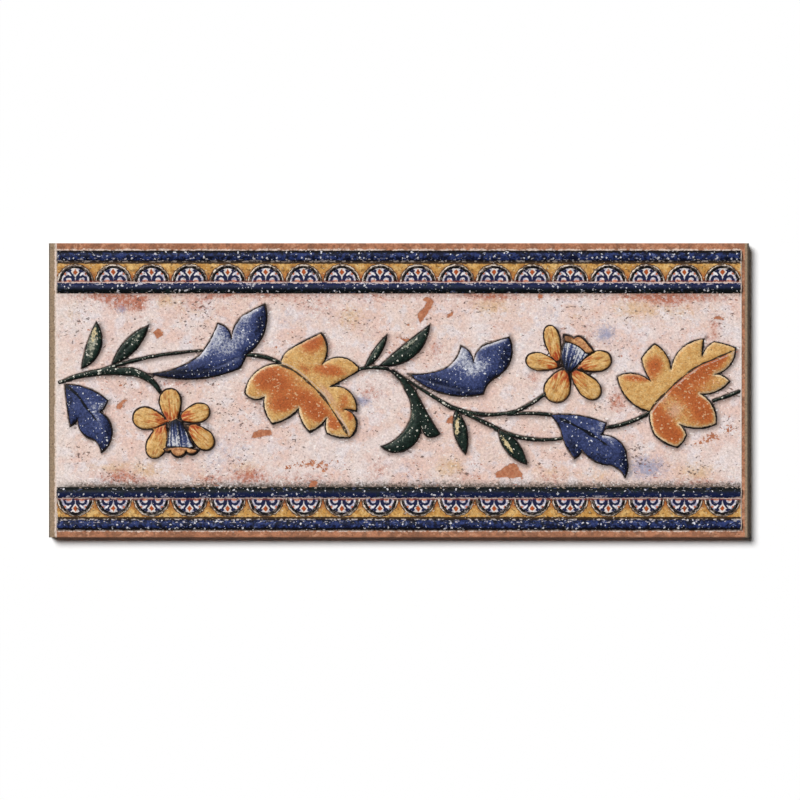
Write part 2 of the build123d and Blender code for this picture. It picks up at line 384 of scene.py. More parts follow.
def from_line(where, points):
    """Distance to a curve, plus on its left and minus on its right, and the way along it."""
    line = smooth_line(points)
    best = np.full(len(where), 1e9)
    side = np.ones(len(where))
    along = np.zeros(len(where))
    walked = 0.0
    for a, b in zip(line, line[1:]):
        way = b - a
        length = math.hypot(*way)
        rest = where - a
        t = np.clip(rest @ way / length ** 2, 0, 1)
        gap = np.hypot(*(rest - t[:, None] * way).T)
        near = gap < best
        best[near] = gap[near]
        side[near] = np.sign(way[0] * rest[near, 1] - way[1] * rest[near, 0])
        along[near] = walked + t[near] * length
        walked += length
    return best * side, along


def dabs(where, marks):
    """Soft ovals added up: x, y, half length, half width, turn in degrees, strength."""
    total = np.zeros(len(where))
    for x, y, long, wide, turn, strength in marks:
        c, s = math.cos(math.radians(turn)), math.sin(math.radians(turn))
        rest = where - (x, y)
        u = (rest[:, 0] * c + rest[:, 1] * s) / long
        v = (rest[:, 1] * c - rest[:, 0] * s) / wide
        total += strength * np.exp(-u * u - v * v)
    return np.clip(total, 0, 1)


def nearest(motif, table):
    """The entry whose first point lies nearest to the middle of a motif."""
    middle = motif["middle"]
    return min(table, key=lambda entry: math.hypot(entry[0][0] - middle.x, entry[0][1] - middle.y))


print("brushes ready for", count, "points")

# %% Blue leaves: midrib, its strength, pale dabs, deep dabs
BLUE = [
    [(-146.7, -11.2), [(-159, 2.8), (-153.5, -1.5), (-149, -7.5), (-144, -14)], 1.0,
     [(-145.5, -8, 3.4, 2.2, -50, 0.7), (-142.6, -14.5, 4, 2, -60, 0.65), (-140.8, -7.2, 2.6, 1.6, 35, 0.9),
      (-154, -8, 2, 2, 0, 0.35)],
     [(-138.5, -18, 2.2, 6, 5, 0.8), (-142.5, -27, 2.6, 3, 0, 0.7), (-157, -8, 1.6, 8, 0, 0.6),
      (-153.5, -14, 2, 2.5, 0, 0.5)]],
    [(-82.3, 19.9), [(-118, 8), (-100, 8.5), (-88, 11), (-77, 15.5)], 0.3,
     [(-86, 26, 3.2, 6, -20, 0.95), (-81, 20.5, 7, 4.5, 20, 0.8), (-71.5, 35, 7, 2.2, 45, 0.75),
      (-74, 27, 5, 3, 45, 0.6), (-92, 18, 5, 2, 40, 0.7)],
     [(-66, 31, 2.6, 10, -12, 0.9), (-72, 18, 4, 3, 30, 0.8), (-95, 8.5, 16, 2.5, 5, 0.9),
      (-111, 7.8, 12, 3, 0, 1.0)]],
    [(33.8, 9.4), [(5, 8), (20, 3), (32, 0.5), (41, 1)], 0.25,
     [(30.2, 17.5, 2.6, 4.8, -20, 1.0), (33.5, 11, 5, 5, 0, 0.95), (39.5, 12, 4.5, 3.4, 30, 0.7),
      (44, 22, 7, 1.8, 15, 0.7), (26, 12.5, 3, 1.5, 40, 0.6)],
     [(50.5, 15, 2.4, 8, 0, 0.9), (18, 4, 9, 2.4, -15, 0.9), (33, -1, 10, 1.8, 0, 0.8),
      (44, 6, 4, 2.5, 40, 0.7)]],
    [(91.1, -23.9), [(77, -13.5), (84, -17), (91, -20.8), (98, -25.5)], 1.0,
     [(96.3, -17, 2.2, 1.8, 30, 0.8), (99.5, -23, 5, 1.8, -35, 0.65), (92, -18.8, 4, 1.4, -28, 0.5)],
     [(107, -35, 2, 6, 10, 0.9), (82.5, -27, 3, 4, 0, 0.8), (76, -15, 3, 2, 0, 0.7),
      (94, -32, 7, 1.6, -10, 0.6)]],
]
for motif in motifs:
    if motif["kind"] == "blue":
        heart, midrib, line, pale, deep = nearest(motif, BLUE)
        i = motif["points"]
        grain[i, 0], grain[i, 1] = from_line(spots[i], midrib)
        wash[i, 0] = dabs(spots[i], pale)
        wash[i, 1] = dabs(spots[i], deep)
        wash[i, 2] = line
print("blue leaves drawn:", len(BLUE))

# %% Ochre leaves: midrib, side of its pale line, dabs of orange, rust, yellow and pink
OCHRE = [
    [(-43.1, 0.8), [(-57, 12.4), (-51, 10), (-45, 5.5), (-40, 1), (-35, -4.5), (-31, -10.5), (-27, -16.5),
                    (-24.8, -20.5)], 1.1,
     [(-40.5, 22.5, 6.5, 4.5, 30, 1.0), (-33, 9.5, 8.5, 3, -8, 0.95), (-26, -5, 2.6, 4, 0, 0.65),
      (-23, -12, 2, 3.4, 0, 0.7), (-45, 10, 4, 1.8, -45, 0.45), (-28, -9, 1.6, 4, 30, 0.35)],
     [(-63, 8, 6, 4, 35, 0.8), (-57, 3, 6, 6, 0, 0.7), (-55, -7, 6, 4, 0, 0.8), (-43, -6, 9, 4, -38, 0.9),
      (-38, -11.5, 5, 3, -40, 0.9), (-31, -16, 4, 2.5, -50, 0.6), (-66, 4, 4, 4, 0, 0.5)],
     [(-72, 1, 4.2, 3.2, 0, 0.9), (-61, -13.5, 5, 3.4, 0, 0.95), (-53, -12.5, 5, 2.4, 20, 0.7),
      (-43, -18.5, 4, 3.2, 0, 0.95), (-31, -21, 6, 1.8, 0, 0.85), (-25.5, -20.5, 3, 2, 0, 0.8)],
     [(-34, -1.5, 7, 1.5, -52, 0.8), (-28.5, -12, 5, 1.1, -60, 0.7), (-70, 6, 3, 2, 50, 0.3)]],
    [(132.5, 1.1), [(119, -10.3), (122, -6), (126, -2), (131, 3), (137, 8), (143, 12), (149, 14.5),
                    (158, 18.5)], -1.1,
     [(112.5, 6.2, 6.5, 2.2, -6, 1.0), (121.5, 11.5, 4.2, 5, -15, 1.0), (136.5, 21, 3, 2, 20, 0.35),
      (146, 21, 2, 1.5, 0, 0.3)],
     [(145, -9, 6, 7.5, 30, 1.0), (133, 3, 7, 3.5, 40, 0.7), (145, 9, 8, 4, 35, 0.9),
      (152, 15, 5, 2.2, 40, 0.8), (125, -16, 5, 5, -40, 0.9), (131, -21.5, 5, 4, 0, 0.9),
      (122, -9, 3, 4, 0, 0.6), (137, -2, 5, 4, 0, 0.5)],
     [(150.6, -13, 1.2, 3.5, 0, 0.8), (146, -17.7, 5, 1, 0, 0.8), (155.5, 4.5, 2.5, 2, 0, 0.9),
      (134.5, -25.8, 2.6, 1.4, 30, 0.8), (136.4, -20, 1.2, 2, 0, 0.8), (158.5, 18.5, 2, 3, 0, 0.7)],
     [(131, -9.5, 4, 4.5, -30, 0.75), (126, -4.5, 3, 2, 40, 0.4)]],
]
for motif in motifs:
    if motif["kind"] == "ochre":
        heart, midrib, pale_side, orange, rust, yellow, pink = nearest(motif, OCHRE)
        i = motif["points"]
        grain[i, 0] = from_line(spots[i], midrib)[0]
        grain[i, 1] = np.abs(grain[i, 0] - pale_side)
        burnt = np.clip(0.5 - grain[i, 0] / 1.2, 0, 1)
        rim = np.exp(-edge_mm[i] / 1.3)
        burnt_half = np.clip(0.3 + dabs(spots[i], rust), 0, 1)
        burnt_half *= (1 - dabs(spots[i], yellow)) * (1 - 0.7 * rim)
        wash[i, 0] = burnt * burnt_half + (1 - burnt) * dabs(spots[i], orange)
        wash[i, 1] = burnt
        wash[i, 2] = dabs(spots[i], pink)
print("ochre leaves drawn:", len(OCHRE))

# %% Green leaves: midrib, grey-green dabs, ochre dabs
GREEN = [
    [(-144.9, 20.9), [(-151, 10.5), (-146, 20), (-144, 32)],
     [(-145.5, 25, 3, 6, -10, 0.9), (-146.5, 18, 1.6, 6, -15, 0.6)], [(-145, 27, 2.2, 4.5, 0, 0.7)]],
    [(-127.2, 21.4), [(-136.5, 12.2), (-128, 21.5), (-119.5, 30.8)], [(-125, 24.5, 4, 1.4, 45, 0.7)], []],
    [(-10.8, 18.0), [(-17, 10), (-11, 18), (-6, 26.5)], [(-10, 20, 5, 0.9, 62, 0.7)], []],
    [(4.3, 19.4), [(-9, 12), (5, 20), (14, 31)], [(5, 22, 7, 1.1, 38, 0.8), (8, 21, 5, 0.7, 42, 0.5)], []],
    [(29.1, -19.6), [(27, -9), (29.5, -20), (31.5, -30)], [(30.6, -22, 4, 0.7, 85, 0.5)],
     [(27.7, -17, 5, 1.0, 86, 1.0)]],
    [(53.5, -26.8), [(47, -18.4), (54, -26.5), (60.5, -35)], [], [(51.4, -25.8, 5, 1.0, -52, 1.0)]],
    [(6.5, -15.2), [(-7, 10.5), (3, 2), (7, -8), (6, -18), (-4, -26)],
     [(6.6, -13, 5, 0.9, 82, 0.7), (4, -20, 4, 0.9, 55, 0.5), (-1, -24.8, 4, 0.9, 25, 0.4)], []],
]
for motif in motifs:
    if motif["kind"] == "green":
        heart, midrib, grey, ochre = nearest(motif, GREEN)
        i = motif["points"]
        grain[i, 0], grain[i, 1] = from_line(spots[i], midrib)
        wash[i, 0] = dabs(spots[i], grey)
        wash[i, 1] = dabs(spots[i], ochre)
    elif motif["kind"] == "stem":
        wash[motif["points"], 2] = 1.0
print("green leaves drawn:", len(GREEN))

# %% Flowers: petals from foot to tip, trumpets from foot to mouth, frills from end to end
PETALS = [
    [(-107.9, -14.6), (-109.2, 0.5), 10.2],
    [(-111.4, -15.2), (-126.1, -12.1), 10.4],
    [(-103.6, -13.2), (-90.4, -9.2), 8.8],
    [(-112.0, -16.4), (-117.4, -31.8), 9.2],
    [(-99.6, -16.8), (-88.9, -27.2), 8.8],
    [(75.4, 14.0), (71.2, 30.5), 7.2],
    [(75.4, 11.6), (60.7, 14.9), 8.0],
    [(86.4, 11.4), (100.6, 15.4), 9.4],
    [(78.6, 9.4), (73.0, -5.1), 12.2],
    [(82.6, 9.0), (94.8, -3.2), 9.4],
]
PETAL_CORNER = 2.3
PETAL_FOOT = 0.55
PETAL_LINE = 0.35
OUTSIDE = -4.0
TRUMPETS = [
    [(-104.3, -21.8), (-105.9, -13.4), (-104.0, -28.4), 3.7, 7.6],
    [(81.9, 16.2), (80.5, 8.2), (85.1, 20.5), 2.7, 7.4],
]
FRILLS = [
    [(-103.4, -28.7), (-112.8, -27.6), (-104.0, -29.0), (-95.0, -28.0)],
    [(85.2, 22.3), (78.0, 24.6), (85.5, 23.0), (93.0, 18.0)],
]


def petal_paint(where):
    """How far inside the painted petals, a boundary between two being an outline too; across; along."""
    drawn = []
    for foot, tip, wide in PETALS:
        half = math.dist(foot, tip) / 2
        way = (np.array(tip) - foot) / (2 * half)
        rest = where - (np.array(tip) + foot) / 2
        along = rest @ way
        across = rest @ (-way[1], way[0])
        taper = PETAL_FOOT + (1 - PETAL_FOOT) * np.clip((along + half) / (1.2 * half), 0, 1)
        long_share = np.abs(along) / (half + PETAL_LINE)
        wide_share = np.abs(across) / (wide / 2 * taper + PETAL_LINE)
        reach = (long_share ** PETAL_CORNER + wide_share ** PETAL_CORNER) ** (1 / PETAL_CORNER)
        inside = np.hypot(along, across) * (1 / np.maximum(reach, 0.001) - 1)
        drawn.append([inside, across, along + half])
    drawn = np.array(drawn)
    own = drawn[:, 0].argmax(axis=0)
    second, first = np.sort(drawn[:, 0], axis=0)[-2:]
    inside = np.where(first > 0, np.minimum(first, (first - second) / 2), first)
    own_drawn = drawn[own, :, np.arange(len(where))]
    return np.column_stack([inside, own_drawn[:, 1], own_drawn[:, 2]])


bloom = petal_paint(spots)
for motif in motifs:
    i = motif["points"]
    if motif["kind"] == "petal":
        bloom[i, 0] = np.where(bloom[i, 0] > 0, bloom[i, 0], edge_mm[i])
        grain[i, 0] = bloom[i, 1]
    else:
        bloom[i, 0] = OUTSIDE
    if motif["kind"] == "trumpet":
        middle, foot, mouth, foot_half, mouth_half = nearest(motif, TRUMPETS)
        across, along = from_line(spots[i], [foot, mouth])
        share = along / math.dist(foot, mouth)
        grain[i, 0] = across / (foot_half + (mouth_half - foot_half) * share)
        grain[i, 1] = share
    elif motif["kind"] == "frill":
        grain[i, 0], grain[i, 1] = from_line(spots[i], nearest(motif, FRILLS)[1:])
print("petals, trumpets, frills drawn:", len(PETALS), len(TRUMPETS), len(FRILLS))

# %% [markdown]
# ## Age on the cream ground
# The ground is the largest surface and far from plain: the glaze has taken up rusty, ochre and blue-grey
# stains, and it has come off in chips that show the clay. Stains are dabs again. A chip is a ragged patch,
# kept as the distance to its outline, so that the material can fray it.

# %% Stains: rust, ochre and blue-grey
RUST_STAINS = [
    (-133, 42.5, 9, 4.5, -8, 0.9), (-124, 41.5, 5, 4, 0, 0.8), (-146, 45, 10, 2.5, 0, 0.35),
    (-97, 40.5, 7, 4, 0, 0.5), (-87, 38, 6, 4, 0, 0.25), (-86, 45, 8, 1.6, 0, 0.5),
    (-66, 45.3, 12, 1.2, 0, 0.5), (-40, 40, 9, 5, 0, 0.4), (-12, 44, 8, 3, 0, 0.25),
    (43, 44.8, 11, 2.2, 0, 0.75), (128, 42.5, 9, 4, 0, 0.75), (117, 44.5, 14, 2.2, 0, 0.6),
    (145, 44, 9, 2.6, 0, 0.5), (150, 29, 3.5, 7, 0, 0.6), (90, 26, 3.5, 5, 0, 0.4),
    (-134, -40.5, 9, 3, 5, 0.85), (-125, -43, 10, 2.4, 0, 0.5), (-90, -42.5, 9, 3, 0, 0.6),
    (-72, -40.5, 9, 4.4, 0, 0.85), (-48, -42.5, 13, 3, 0, 0.6), (-10, -39, 5, 6, 0, 0.5),
    (32, -40.5, 6, 2.2, 0, 0.55), (73, -41, 8, 3, 0, 0.4), (140, -43, 12, 2.6, 0, 0.5),
    (103.5, -5, 5, 6, 0, 0.75), (-13, -1, 6, 4, 0, 0.6), (17.5, 20, 4, 6, 0, 0.6), (63, 6, 3.4, 4, 0, 0.5),
    (-108, 3.5, 10, 2, -4, 0.45), (-142, 13, 6, 3, 40, 0.25), (-4, 6, 5, 2, -30, 0.3),
    (128, -31.5, 3, 3, 0, 0.35),
]
OCHRE_STAINS = [
    (-111, 43, 6, 3.5, 0, 0.8), (-23, 35, 7, 6, 0, 0.75), (44, 40, 9, 4, 0, 0.75),
    (114, 39, 12, 5.5, 0, 0.8), (24, -36.5, 6, 5, 0, 0.9), (140, -39, 11, 4, 0, 0.8),
    (-120, -37.5, 7, 4, 0, 0.75), (-136, -37, 9, 3, 0, 0.6), (-72, -37, 8, 4, 0, 0.5),
    (-157, 37, 6, 5, 0, 0.45), (84, 36, 8, 5, 0, 0.25), (73, -39, 9, 4, 0, 0.45), (95, -40, 7, 4, 0, 0.5),
    (-100, 38, 7, 4, 0, 0.35), (135, 38, 9, 4, 0, 0.45), (-93, -40, 7, 3, 0, 0.3),
]
BLUE_STAINS = [
    (-131.7, 38.7, 2.6, 2, 0, 0.9), (98, 27, 5, 4, 0, 0.85), (118, -36.5, 9, 5.5, 0, 0.85),
    (-17.5, -5, 4, 2.4, 0, 0.9), (5, -38, 6, 5, 0, 0.25), (-85, -30, 14, 8, 0, 0.25),
    (70, 36, 8, 6, 0, 0.2), (-50, 34, 10, 5, 0, 0.15),
]
print("stains:", len(RUST_STAINS), len(OCHRE_STAINS), len(BLUE_STAINS))

# %% Chips, pits, painted shade and scuffs
CHIPS = [
    [(45.5, -39.8), (49, -37.5), (52, -35), (55.5, -34.8), (57.5, -38), (59, -40.5), (58.8, -42.8),
     (57.5, -41.2), (54, -41.8), (51, -41.2), (46.5, -41.8)],
    [(11, 43.5), (13.5, 44.5), (15.5, 43.8), (16.7, 42), (15.5, 39.5), (13.5, 36.5), (11.5, 33.5),
     (10, 31.8), (9.5, 34), (8, 35.5), (10, 37.5), (12.5, 39.8), (13, 42)],
    [(-117, 27.4), (-114.8, 24.4), (-111.4, 26.6), (-112.8, 28), (-114, 29.8)],
    [(-70, -23), (-65.4, -22), (-60.4, -21.4), (-60.6, -18.8), (-66, -18.8), (-69.2, -20)],
    [(22, -15), (26, -16.2), (27.2, -13), (24.6, -12)],
    [(-43, -46), (-38.8, -46), (-39, -43.2), (-40.5, -42.4), (-42, -44)],
    [(22, 35), (26.2, 38.2), (25.6, 35.8), (24, 34.4)],
    [(65.8, 45.8), (66.2, 43), (67.6, 42.6), (68.6, 45.8)],
    [(-134.2, -9.4), (-131, -8), (-131.8, -5.4), (-134, -6.4)],
    [(-132, -5.2), (-129, -5.6), (-129.4, -3.4)],
    [(-1.4, 25.4), (0.6, 24.6), (0.8, 26.2)],
    [(1.2, 24), (4.6, 22.6), (5.2, 24.2), (3, 25)],
    [(3.2, 31), (5.4, 30.4), (5, 32.2)],
    [(149.6, 33.8), (154.6, 33.4), (154, 35), (150.4, 35.2)],
]
PIT_CLUSTERS = [
    (-78, -9, 10, 7, 0, 0.8), (-78, -32, 9, 4, 0, 0.6), (-94, 30, 6, 7, 0, 0.6),
    (-50, -24.5, 5, 2.5, 0, 0.7), (114, -31, 6, 5, 0, 0.7), (143, -35, 8, 6, 0, 0.7),
    (95, -9, 5, 5, 0, 0.5), (-150, -28, 6, 6, 0, 0.6),
]
# Painted shade: soft dark dabs on the ground by the fork of a stem, two petals and an ochre leaf
PAINTED_SHADE = [
    (-1, 5.5, 5, 2.4, -40, 0.8), (-90.5, -18, 2, 4.5, 35, 0.7), (-114.5, -5, 1.2, 3.5, 0, 0.6),
    (-66, -8, 2, 6, 10, 0.5),
]
SCUFFS = [
    (147, -23, 9, 2.8, 26, 1.0), (157.5, -18, 2.6, 2, 20, 1.0), (-41, -35, 14, 2, 2, 1.0),
    (-36, -38, 3, 0.8, 0, 0.8), (-53, -37, 1.6, 1.2, 0, 0.8), (-18, 1, 2.6, 2, 0, 0.7),
    (2, 24.5, 3, 1.4, 0, 0.7), (-58, 20.6, 3.6, 0.6, 0, 0.95), (-59, 17.6, 1.6, 0.6, 0, 0.9),
    (90.5, 42.6, 2.8, 0.9, 5, 1.0), (72.5, 45.2, 2.4, 0.8, 0, 1.0), (152, 34.4, 3.6, 0.8, -5, 1.0),
    (151, 36.8, 2, 0.5, 0, 0.9), (94, -7.5, 1.8, 0.7, 30, 1.0), (-155, 28.2, 1.8, 0.6, 0, 1.0),
    (-147.5, 29, 2, 0.7, 0, 1.0), (-162, 26, 1.6, 2, 0, 0.9), (-158.5, 14.6, 1.5, 0.8, 0, 1.0),
    (-131.5, 2.6, 1.8, 0.8, 15, 1.0), (36, -41.5, 6, 1.2, 0, 0.6), (4.2, 31.5, 1.2, 0.8, 0, 1.0),
    (-2.5, 28.6, 1.2, 0.5, 0, 1.0), (-132, -40, 14, 3, 0, 0.35), (20, 34.4, 3, 0.8, 0, 0.5),
    (-9, 44, 1.6, 0.6, 0, 1.0),
]
print("chips:", len(CHIPS), "scuffs:", len(SCUFFS))

# %% Lay them on the ground


def from_outline(where, corners):
    """Distance to a closed outline, minus inside."""
    inside = np.zeros(len(where), bool)
    best = np.full(len(where), 1e9)
    ring = np.array(corners, float)
    for a, b in zip(ring, np.roll(ring, -1, axis=0)):
        way = b - a
        rest = where - a
        t = np.clip(rest @ way / (way @ way), 0, 1)
        best = np.minimum(best, np.hypot(*(rest - t[:, None] * way).T))
        level_with = (a[1] > where[:, 1]) != (b[1] > where[:, 1])
        if a[1] != b[1]:
            inside ^= level_with & (where[:, 0] < a[0] + (where[:, 1] - a[1]) * way[0] / way[1])
    return np.where(inside, -best, best)


i = ground_points
wash[i, 0] = dabs(spots[i], RUST_STAINS)
wash[i, 1] = dabs(spots[i], OCHRE_STAINS)
wash[i, 2] = dabs(spots[i], BLUE_STAINS)
grain[i, 0] = np.min([from_outline(spots[i], chip) for chip in CHIPS], axis=0).clip(-4, 4)
grain[i, 1] = dabs(spots[i], SCUFFS)
# On all points: where pits gather, the painted shade, and a spare zero
marks = np.column_stack([dabs(spots, PIT_CLUSTERS), dabs(spots, PAINTED_SHADE), np.zeros(count)])
print("ground:", len(i), "points,", len(CHIPS), "chips,", int((grain[i, 0] < 0).sum()), "points bare")

# %% [markdown]
# ## Crowned forms
# Clay pressed in a mould never has flat-topped leaves: each form swells from its rim. The tops are lifted
# by their distance from the rim, the rim itself is let down a little so that it turns into the flank, and
# the midribs, the petals' folds and the pleats of the trumpets are pressed in. Nothing goes above the
# highest top of the solid, so the box of the model stays the same.

# %% Crown the tops
CROWN = {
    "blue": (0.35, 0.3, 1.7), "ochre": (0.35, 0.3, 1.9), "green": (0.3, 0.2, 1.0), "stem": (0.25, 0.1, 0.5),
    "petal": (0.3, 0.25, 1.2), "trumpet": (0.3, 0.1, 1.2), "frill": (0.4, 0.0, 0.7),
}
HOOP_CROWN = (0.25, 0.1, 0.4)
RIB_DEPTH = {"blue": 0.22, "ochre": 0.3, "green": 0.22}
RIB_WIDTH = 0.8
FOLD_DEPTH, FOLD_WIDTH = 0.18, 1.3
PLEAT_DEPTH, PLEAT_TURN = 0.1, 9.0
WAVE_DEPTH, WAVE_TURN = 0.12, 2.2
height = np.array([v.co.z for v in relief.verts]) / MM
for motif in motifs:
    i = motif["points"]
    drop, rise, reach = CROWN[motif["kind"]]
    swell = 1 - np.exp(-edge_mm[i] / reach)
    top = motif["level"] - drop + (drop + rise) * swell
    if motif["kind"] in RIB_DEPTH:
        top -= RIB_DEPTH[motif["kind"]] * np.exp(-(grain[i, 0] / RIB_WIDTH) ** 2) * swell
    elif motif["kind"] == "petal":
        top -= FOLD_DEPTH * np.exp(-(grain[i, 0] / FOLD_WIDTH) ** 2) * swell
    elif motif["kind"] == "trumpet":
        top -= PLEAT_DEPTH * (1 - np.cos(grain[i, 0] * PLEAT_TURN)) * swell
    elif motif["kind"] == "frill":
        top -= WAVE_DEPTH * (1 - np.cos(grain[i, 1] * WAVE_TURN)) * swell
    height[i] = top
for level, group in hoop_groups:
    members = set(group)
    rim = rim_of(members)
    tree, looks = outline_tree(rim, members)
    drop, rise, reach = HOOP_CROWN
    for v in {v for f in group for v in f.verts}:
        edge_mm[v.index] = tree.find(v.co)[2] / MM
        height[v.index] = level - drop + (drop + rise) * (1 - math.exp(-edge_mm[v.index] / reach))
    rims |= rim
for v in relief.verts:
    v.co.z = height[v.index] * MM
relief.normal_update()
print("highest point", round(float(height.max()), 3), "mm")

# %% [markdown]
# ## One mesh with its values
# The worked mesh becomes one object, because the tile is one piece. Each face gets the glaze of its place,
# the distances and washes go along as attributes of the points, and the mesh gets a map of its own for
# export: the face spread over most of it, the back and the sides in strips below.

# %% Sort the faces by glaze
GLAZES = ["bare_clay", "field_glaze", "rail_glaze", "frieze_glaze", "contour_glaze",
          "blue_glaze", "ochre_glaze", "green_glaze", "petal_glaze", "trumpet_glaze", "frill_glaze"]
GLAZE_OF = {"stem": "green_glaze"}

top_glaze = {}
for motif in motifs:
    for f in motif["faces"]:
        top_glaze[f] = GLAZE_OF.get(motif["kind"], motif["kind"] + "_glaze")
for f in relief.faces:
    middle = f.calc_center_median() / MM
    y = abs(middle.y)
    if f in top_glaze:
        name = top_glaze[f]
    elif middle.z < 8.05 or y > PANEL_HALF + 0.01 or abs(middle.x) > PANEL_END + 0.01:
        name = "bare_clay"
    elif y > QUIRK_Y or FIELD_HALF < y < FRIEZE_FOOT:
        name = "rail_glaze"
    elif y > FRIEZE_FOOT:
        name = "frieze_glaze"
    elif f.normal.z > 0.99 or abs(middle.x) > PANEL_END - 0.01:
        name = "field_glaze"
    else:
        name = "contour_glaze"
    f.material_index = GLAZES.index(name)
    f.smooth = True
for e in relief.edges:
    e.smooth = e in rims or e.calc_face_angle(0.0) < math.radians(30)
counts = np.bincount([f.material_index for f in relief.faces], minlength=len(GLAZES))
print(dict(zip(GLAZES, counts.tolist())))

# %% Map for the export
FACE_FOOT, FACE_TOP = 0.14, 0.998
BACK_FOOT, BACK_TALL = 0.004, 0.096
SOUTH_FOOT, NORTH_FOOT, END_FOOT, SIDE_TALL = 0.104, 0.116, 0.128, 0.009
WEST_START, EAST_START, END_LONG = 0.01, 0.51, 0.48
face_uv = relief.loops.layers.uv.new("OFBake")
half_x, half_y = cad_high.x, cad_high.y
for f in relief.faces:
    middle = f.calc_center_median()
    for loop in f.loops:
        x = 0.5 + 0.498 * loop.vert.co.x / half_x
        y = 0.5 + 0.5 * loop.vert.co.y / half_y
        z = loop.vert.co.z / (MARGIN_Z * 1.02)
        if f.normal.z > 0.3 or middle.z > MARGIN_Z + 0.01 * MM:
            spot = (x, FACE_FOOT + (FACE_TOP - FACE_FOOT) * y)
        elif f.normal.z < -0.3 or middle.z < 1.5 * MM and abs(f.normal.z) > 0.1:
            spot = (x, BACK_FOOT + BACK_TALL * y)
        elif abs(f.normal.y) > abs(f.normal.x):
            spot = (x, (SOUTH_FOOT if f.normal.y < 0 else NORTH_FOOT) + SIDE_TALL * z)
        else:
            start = WEST_START if f.normal.x < 0 else EAST_START
            spot = (start + END_LONG * y, END_FOOT + SIDE_TALL * z)
        loop[face_uv].uv = spot
bmesh.ops.triangulate(relief, faces=relief.faces, quad_method="BEAUTY", ngon_method="BEAUTY")
print("triangles:", len(relief.faces), "open edges:", open_edges(relief))

# %% Make the object
tile_mesh = bpy.data.meshes.new("relief_tile")
relief.to_mesh(tile_mesh)
relief.free()
for name, values, kind in (("edge_mm", edge_mm, "FLOAT"), ("grain", grain, "FLOAT_VECTOR"),
                           ("wash", wash, "FLOAT_VECTOR"), ("marks", marks, "FLOAT_VECTOR"),
                           ("bloom", bloom, "FLOAT_VECTOR")):
    layer = tile_mesh.attributes.new(name, kind, "POINT")
    layer.data.foreach_set("value" if kind == "FLOAT" else "vector", values.astype(np.float32).ravel())
tile = bpy.data.objects.new("relief_tile", tile_mesh)
scene.collection.objects.link(tile)
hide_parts("tile")
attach(tile, "root")
print("made", tile.name, "with", len(tile_mesh.vertices), "points")

# %% [markdown]
# ## Node helpers and shared effects
# Every glaze here is a drawing made of masks: a noise, a distance or an attribute turned into a value from
# zero to one, which then mixes two colours. A small class lets the outputs of nodes be reckoned with like
# numbers, and a few short helpers keep the rest readable. Effects that several glazes share become node
# groups: cloudy tone, round specks, ragged flecks, a frayed contour line, the light and shade inside a rim,
# sprayed colour, fine grain and the skin of the glaze.

# %% Node helpers: values


class Value:
    """Output of a node, which can be reckoned with like a number."""

    def __init__(self, socket):
        self.socket = socket
        self.tree = socket.id_data

    def __add__(self, other):
        return calc("ADD", self, other)

    def __sub__(self, other):
        return calc("SUBTRACT", self, other)

    def __rsub__(self, other):
        return calc("SUBTRACT", other, self)

    def __mul__(self, other):
        return calc("MULTIPLY", self, other)

    def __truediv__(self, other):
        return calc("DIVIDE", self, other)

    def __rtruediv__(self, other):
        return calc("DIVIDE", other, self)

    def __abs__(self):
        return calc("ABSOLUTE", self)


def paint(red, green, blue):
    """Colour of the render from sRGB values of 0 to 255."""
    def linear(value):
        value /= 255
        return value / 12.92 if value <= 0.04045 else ((value + 0.055) / 1.055) ** 2.4
    return (linear(red), linear(green), linear(blue), 1.0)


def put(socket, value):
    """Links an input of a node to a value, or sets it."""
    if isinstance(value, Value):
        value.tree.links.new(value.socket, socket)
    else:
        socket.default_value = value


def add(tree, kind, values=None, **settings):
    """New node with settings, its inputs linked or set."""
    node = tree.nodes.new(kind)
    for name, value in settings.items():
        setattr(node, name, value)
    for key, value in (values or {}).items():
        put(node.inputs[key], value)
    return node


def out(node, key=0):
    return Value(node.outputs[key])


def calc(operation, *values):
    """Math node on values and numbers."""
    tree = next(value.tree for value in values if isinstance(value, Value))
    return out(add(tree, "ShaderNodeMath", dict(enumerate(values)), operation=operation))


print("values can be reckoned with")

# %% Node helpers: masks and places


def either(*masks):
    """The strongest of some masks."""
    result = masks[0]
    for mask in masks[1:]:
        result = calc("MAXIMUM", result, mask)
    return result


def mix(share, a, b):
    """Colour b over colour a, by its share."""
    return out(add(share.tree, "ShaderNodeMix", {0: share, 6: a, 7: b}, data_type="RGBA"), 2)


def ramp(value, low, high):
    """Smooth step from 0 at low to 1 at high."""
    values = {"Value": value, "From Min": low, "From Max": high}
    return out(add(value.tree, "ShaderNodeMapRange", values, interpolation_type="SMOOTHSTEP"))


def vector_calc(operation, values):
    tree = values[0].tree
    return out(add(tree, "ShaderNodeVectorMath", values, operation=operation))


def tile_mm(tree):
    """Place on the tile in millimetres."""
    place = out(add(tree, "ShaderNodeTexCoord"), "Object")
    return vector_calc("SCALE", {0: place, "Scale": 1000.0})


def apart(vector):
    """The three values of a vector."""
    return [Value(socket) for socket in add(vector.tree, "ShaderNodeSeparateXYZ", {0: vector}).outputs]


def stored(tree, name):
    """The three values that are stored on the points under a name."""
    return apart(out(add(tree, "ShaderNodeAttribute", attribute_name=name), "Vector"))


print("masks and places ready")

# %% Node helpers: noise and groups


def noise(tree, vector, size, detail=2.0, roughness=0.55):
    """Noise of about 0.5 with spots of a size in millimetres."""
    values = {"Vector": vector, "Scale": 1.0 / size, "Detail": detail, "Roughness": roughness}
    return out(add(tree, "ShaderNodeTexNoise", values), "Fac")


def uneven(tree, size, detail=3.0, roughness=0.65):
    """Noise about zero."""
    return noise(tree, tile_mm(tree), size, detail, roughness) - 0.5


